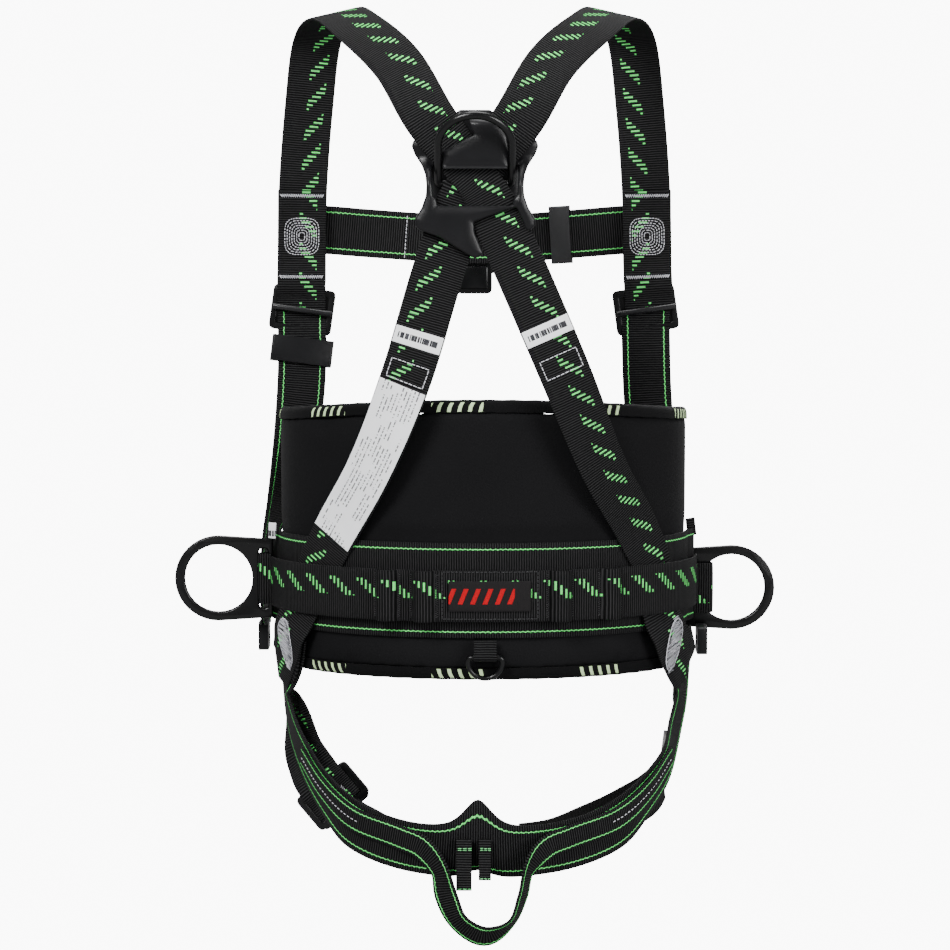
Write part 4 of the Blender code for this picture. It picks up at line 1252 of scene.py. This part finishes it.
buildPlate()
fills = {"shoulder": (0.1688, 0.0010), "leg": (0.0582, 0.0006), "chest": (0.2044, 0.0010)}
for side in ("left", "right"):
    name = side.capitalize()
    softened(
        "sideRing" + name, "side_d_ring_" + side, "metal", "side_ring_" + side, 0.0008, 2,
    )
    buckle = softened(
        "shoulderBuckle" + name, "shoulder_buckle_" + side, "metal", "harness", 0.0012,
    )
    fillFrame(buckle, "shoulder_buckle_" + side, *fills["shoulder"])
    softened(
        "slideBar" + name, "shoulder_slide_bar_" + side, "brightEdge", "slide_bar_" + side, 0.0004, 2,
    )
    legFrame = softened(
        "legFrame" + name, "leg_buckle_frame_" + side, "metal", "harness", 0.0012,
    )
    if side == "left":
        fillFrame(legFrame, "leg_buckle_frame_left", *fills["leg"])
    softened(
        "legPlate" + name, "leg_buckle_plate_" + side, "metal", "leg_plate_" + side, 0.0009,
    )
    adjuster = softened(
        "hipAdjuster" + name, "hip_adjuster_" + side, "plastic", "harness", 0.0030,
    )
    if side == "right":
        adjuster.data.transform(Matrix.Translation((-0.003, 0, 0.010)))
keeper = softened(
    "shoulderKeeperLeft", "shoulder_keeper_left", "plastic", "shoulder_keeper_sleeve", 0.0008,
)
keeperTurn = {"middle": Vector((-0.1687, 0.1612, 0.2030)), "angle": 8.0}
turned = Matrix.Rotation(math.radians(keeperTurn["angle"]), 4, "Y")
keeper.data.transform(
    Matrix.Translation(keeperTurn["middle"]) @ turned @ Matrix.Translation(-keeperTurn["middle"])
)
softened("chestKeeper", "chest_keeper", "grey", "chest_keeper_sleeve", 0.0006)
chestFrame = softened("chestFrame", "chest_buckle_frame", "metal", width=0.0012)
block = {"size": (0.0275, 0.0058, 0.0230), "place": (-0.0085, 0.2038, 0.2700)}
bpy.ops.mesh.primitive_cube_add(size=1, location=block["place"], scale=block["size"])
only(bpy.context.object)
bpy.ops.object.transform_apply(location=True, rotation=True, scale=True)
bpy.ops.object.mode_set(mode="EDIT")
bpy.ops.mesh.select_all(action="SELECT")
bpy.ops.mesh.bevel(offset=0.0022, segments=4, affect="EDGES")
bpy.ops.object.mode_set(mode="OBJECT")
bpy.ops.object.shade_smooth_by_angle(angle=math.radians(35))
joinInto(chestFrame, bpy.context.object, "metal")
fillFrame(chestFrame, "chest_buckle_frame", *fills["chest"])
softened("chestPlate", "chest_buckle_plate", "metal", "chest_plate", 0.0009)
softened("waistFrame", "waist_buckle_frame", "metal", width=0.0012)
softened("waistPlate", "waist_buckle_plate", "metal", "waist_plate", 0.0009)


# A letter D of round wire, its bar on the axis.
def wireRing(name, node, axis, turn, halfWidth, leg, wire, rides):
    corner = 0.004
    points = []
    for step in range(9):
        angle = math.radians(-90 + 90 * step / 8)
        points.append((halfWidth - corner + corner * math.cos(angle), corner + corner * math.sin(angle)))
    for step in range(41):
        angle = math.pi * step / 40
        points.append((halfWidth * math.cos(angle), leg + halfWidth * math.sin(angle)))
    for step in range(9):
        angle = math.radians(180 + 90 * step / 8)
        points.append((-halfWidth + corner + corner * math.cos(angle), corner + corner * math.sin(angle)))
    curve = bpy.data.curves.new(name, "CURVE")
    curve.dimensions = "3D"
    curve.bevel_depth = wire
    curve.bevel_resolution = 6
    spline = curve.splines.new("POLY")
    spline.use_cyclic_u = True
    spline.points.add(len(points) - 1)
    for point, (x, v) in zip(spline.points, points):
        point.co = (axis[0] + x, axis[1] - v * math.sin(turn), axis[2] + v * math.cos(turn), 1)
    piece = bpy.data.objects.new(name, curve)
    scene.collection.objects.link(piece)
    only(piece)
    bpy.ops.object.convert(target="MESH")
    bpy.ops.object.shade_smooth()
    dress(bpy.context.object, "metal", rides, [node])


wireRing(
    "dorsalRing", "dorsal_d_ring", (-0.0075, -0.022, 0.3554), math.radians(35), 0.0318, 0.0390, 0.0035,
    "dorsal_ring",
)
wireRing(
    "utilityRing", "utility_d_ring", (0.0015, -0.0210, -0.0580), math.radians(188), 0.0152, 0.004, 0.0021,
    "utility_ring",
)
print("hardware softened")

# folded tabs and small tags

ringBars = {"Left": (-0.1948, 0.1000, -0.0025), "Right": (0.1830, 0.1360, -0.0154)}


# Webbing folded through a side ring.
def ringTab(side, sign, nose, reach, tail, rides):
    x, y, z = ringBars[side]
    fold = []
    if tail:
        fold.append(((x + sign * (nose - tail), y - reach, z), (0, -1, 0)))
    for step in range(9):
        angle = math.radians(-90 + 180 * step / 8)
        out = (sign * math.cos(angle), math.sin(angle), 0)
        fold.append(((x + sign * nose + reach * out[0], y + reach * out[1], z), out))
    if tail:
        fold.append(((x + sign * (nose - tail), y + reach, z), (0, 1, 0)))
    return layWebbing(
        "ringTab" + side, fold, "dashed", ["ring_tab_" + side.lower()], 0.0465, 0.0016, rides, 0.0015, flip=1,
    )


ringTab("Left", -1, 0.0050, 0.0062, 0.0062, "harness")
rightTab = ringTab("Right", 1, 0.0230, 0.0070, 0.0150, "side_ring_right")
stitch("ringTabStitch", zigzag(rightTab, 0.0050, 0.0250, 0.0032, 14, lift=0.0012), rides="side_ring_right")
axis = Vector((0.0015, -0.0210, -0.0580))
tabLoop = 0.0034
around = [((axis.x, axis.y + tabLoop, axis.z + rise), (0, 1, 0)) for rise in (0.015, 0.010, 0.005)]
for step in range(7):
    turn = math.pi * step / 6
    out = Vector((0, math.cos(turn), -math.sin(turn)))
    around.append((tuple(axis + out * tabLoop), tuple(out)))
around += [((axis.x, axis.y - tabLoop, axis.z + rise), (0, -1, 0)) for rise in (0.005, 0.010, 0.015)]
layWebbing("utilityTab", around, "plain", ["utility_ring_tab"], 0.020, 0.0012, row=0.0012, crown=0.0)
layWebbing(
    "sizeTag", [((-0.1925, 0.0960, 0.0490), (-0.2, -1, 0)), ((-0.1930, 0.0960, 0.0345), (-0.2, -1, 0))],
    "shortLabel", ["size_tag"], 0.007, 0.0008, crown=0.0,
)
layWebbing(
    "beltLoopRight", [((0.1905, 0.1180, 0.0510), (0.5, -1, 0)), ((0.1925, 0.1180, 0.0350), (0.5, -1, 0))],
    "plain", ["belt_loop_right"], 0.009, 0.0025, crown=0.0,
)
print("tabs folded")

# the floor and the backdrop


# What the camera sees directly is the second shader; all other light comes from the first.
def seenOnly(tree, lighting, seen, target):
    path = tree.nodes.new("ShaderNodeLightPath")
    blend = tree.nodes.new("ShaderNodeMixShader")
    tree.links.new(path.outputs["Is Camera Ray"], blend.inputs[0])
    tree.links.new(lighting, blend.inputs[1])
    tree.links.new(seen, blend.inputs[2])
    tree.links.new(blend.outputs[0], target)


def addFloor():
    bpy.ops.mesh.primitive_plane_add(size=studio["floorReach"], location=(0, 0, studio["floor"]))
    floor = bpy.context.object
    floor.name = "floor"
    material, tree, shader, where = startMaterial("paleFloor", 0.9, specular=0.1)
    cloud = noise(tree, where.outputs["Object"], 2)
    tree.links.new(mixed(tree, cloud, (0.30, 0.30, 0.30), (0.33, 0.33, 0.33)), shader.inputs["Base Color"])
    glow = tree.nodes.new("ShaderNodeEmission")
    glow.inputs["Strength"].default_value = studio["seen"]
    seenOnly(tree, shader.outputs[0], glow.outputs[0], tree.nodes["Material Output"].inputs["Surface"])
    floor.data.materials.append(material)
    world = bpy.data.worlds.new("studio")
    world.use_nodes = True
    tree = world.node_tree
    soft, bright = tree.nodes["Background"], tree.nodes.new("ShaderNodeBackground")
    for light, strength in ((soft, studio["world"]), (bright, studio["seen"])):
        light.inputs["Color"].default_value = (1, 1, 1, 1)
        light.inputs["Strength"].default_value = strength
    seenOnly(tree, soft.outputs[0], bright.outputs[0], tree.nodes["World Output"].inputs["Surface"])
    scene.world = world


addFloor()
print("floor laid")

bpy.ops.object.select_all(action="DESELECT")
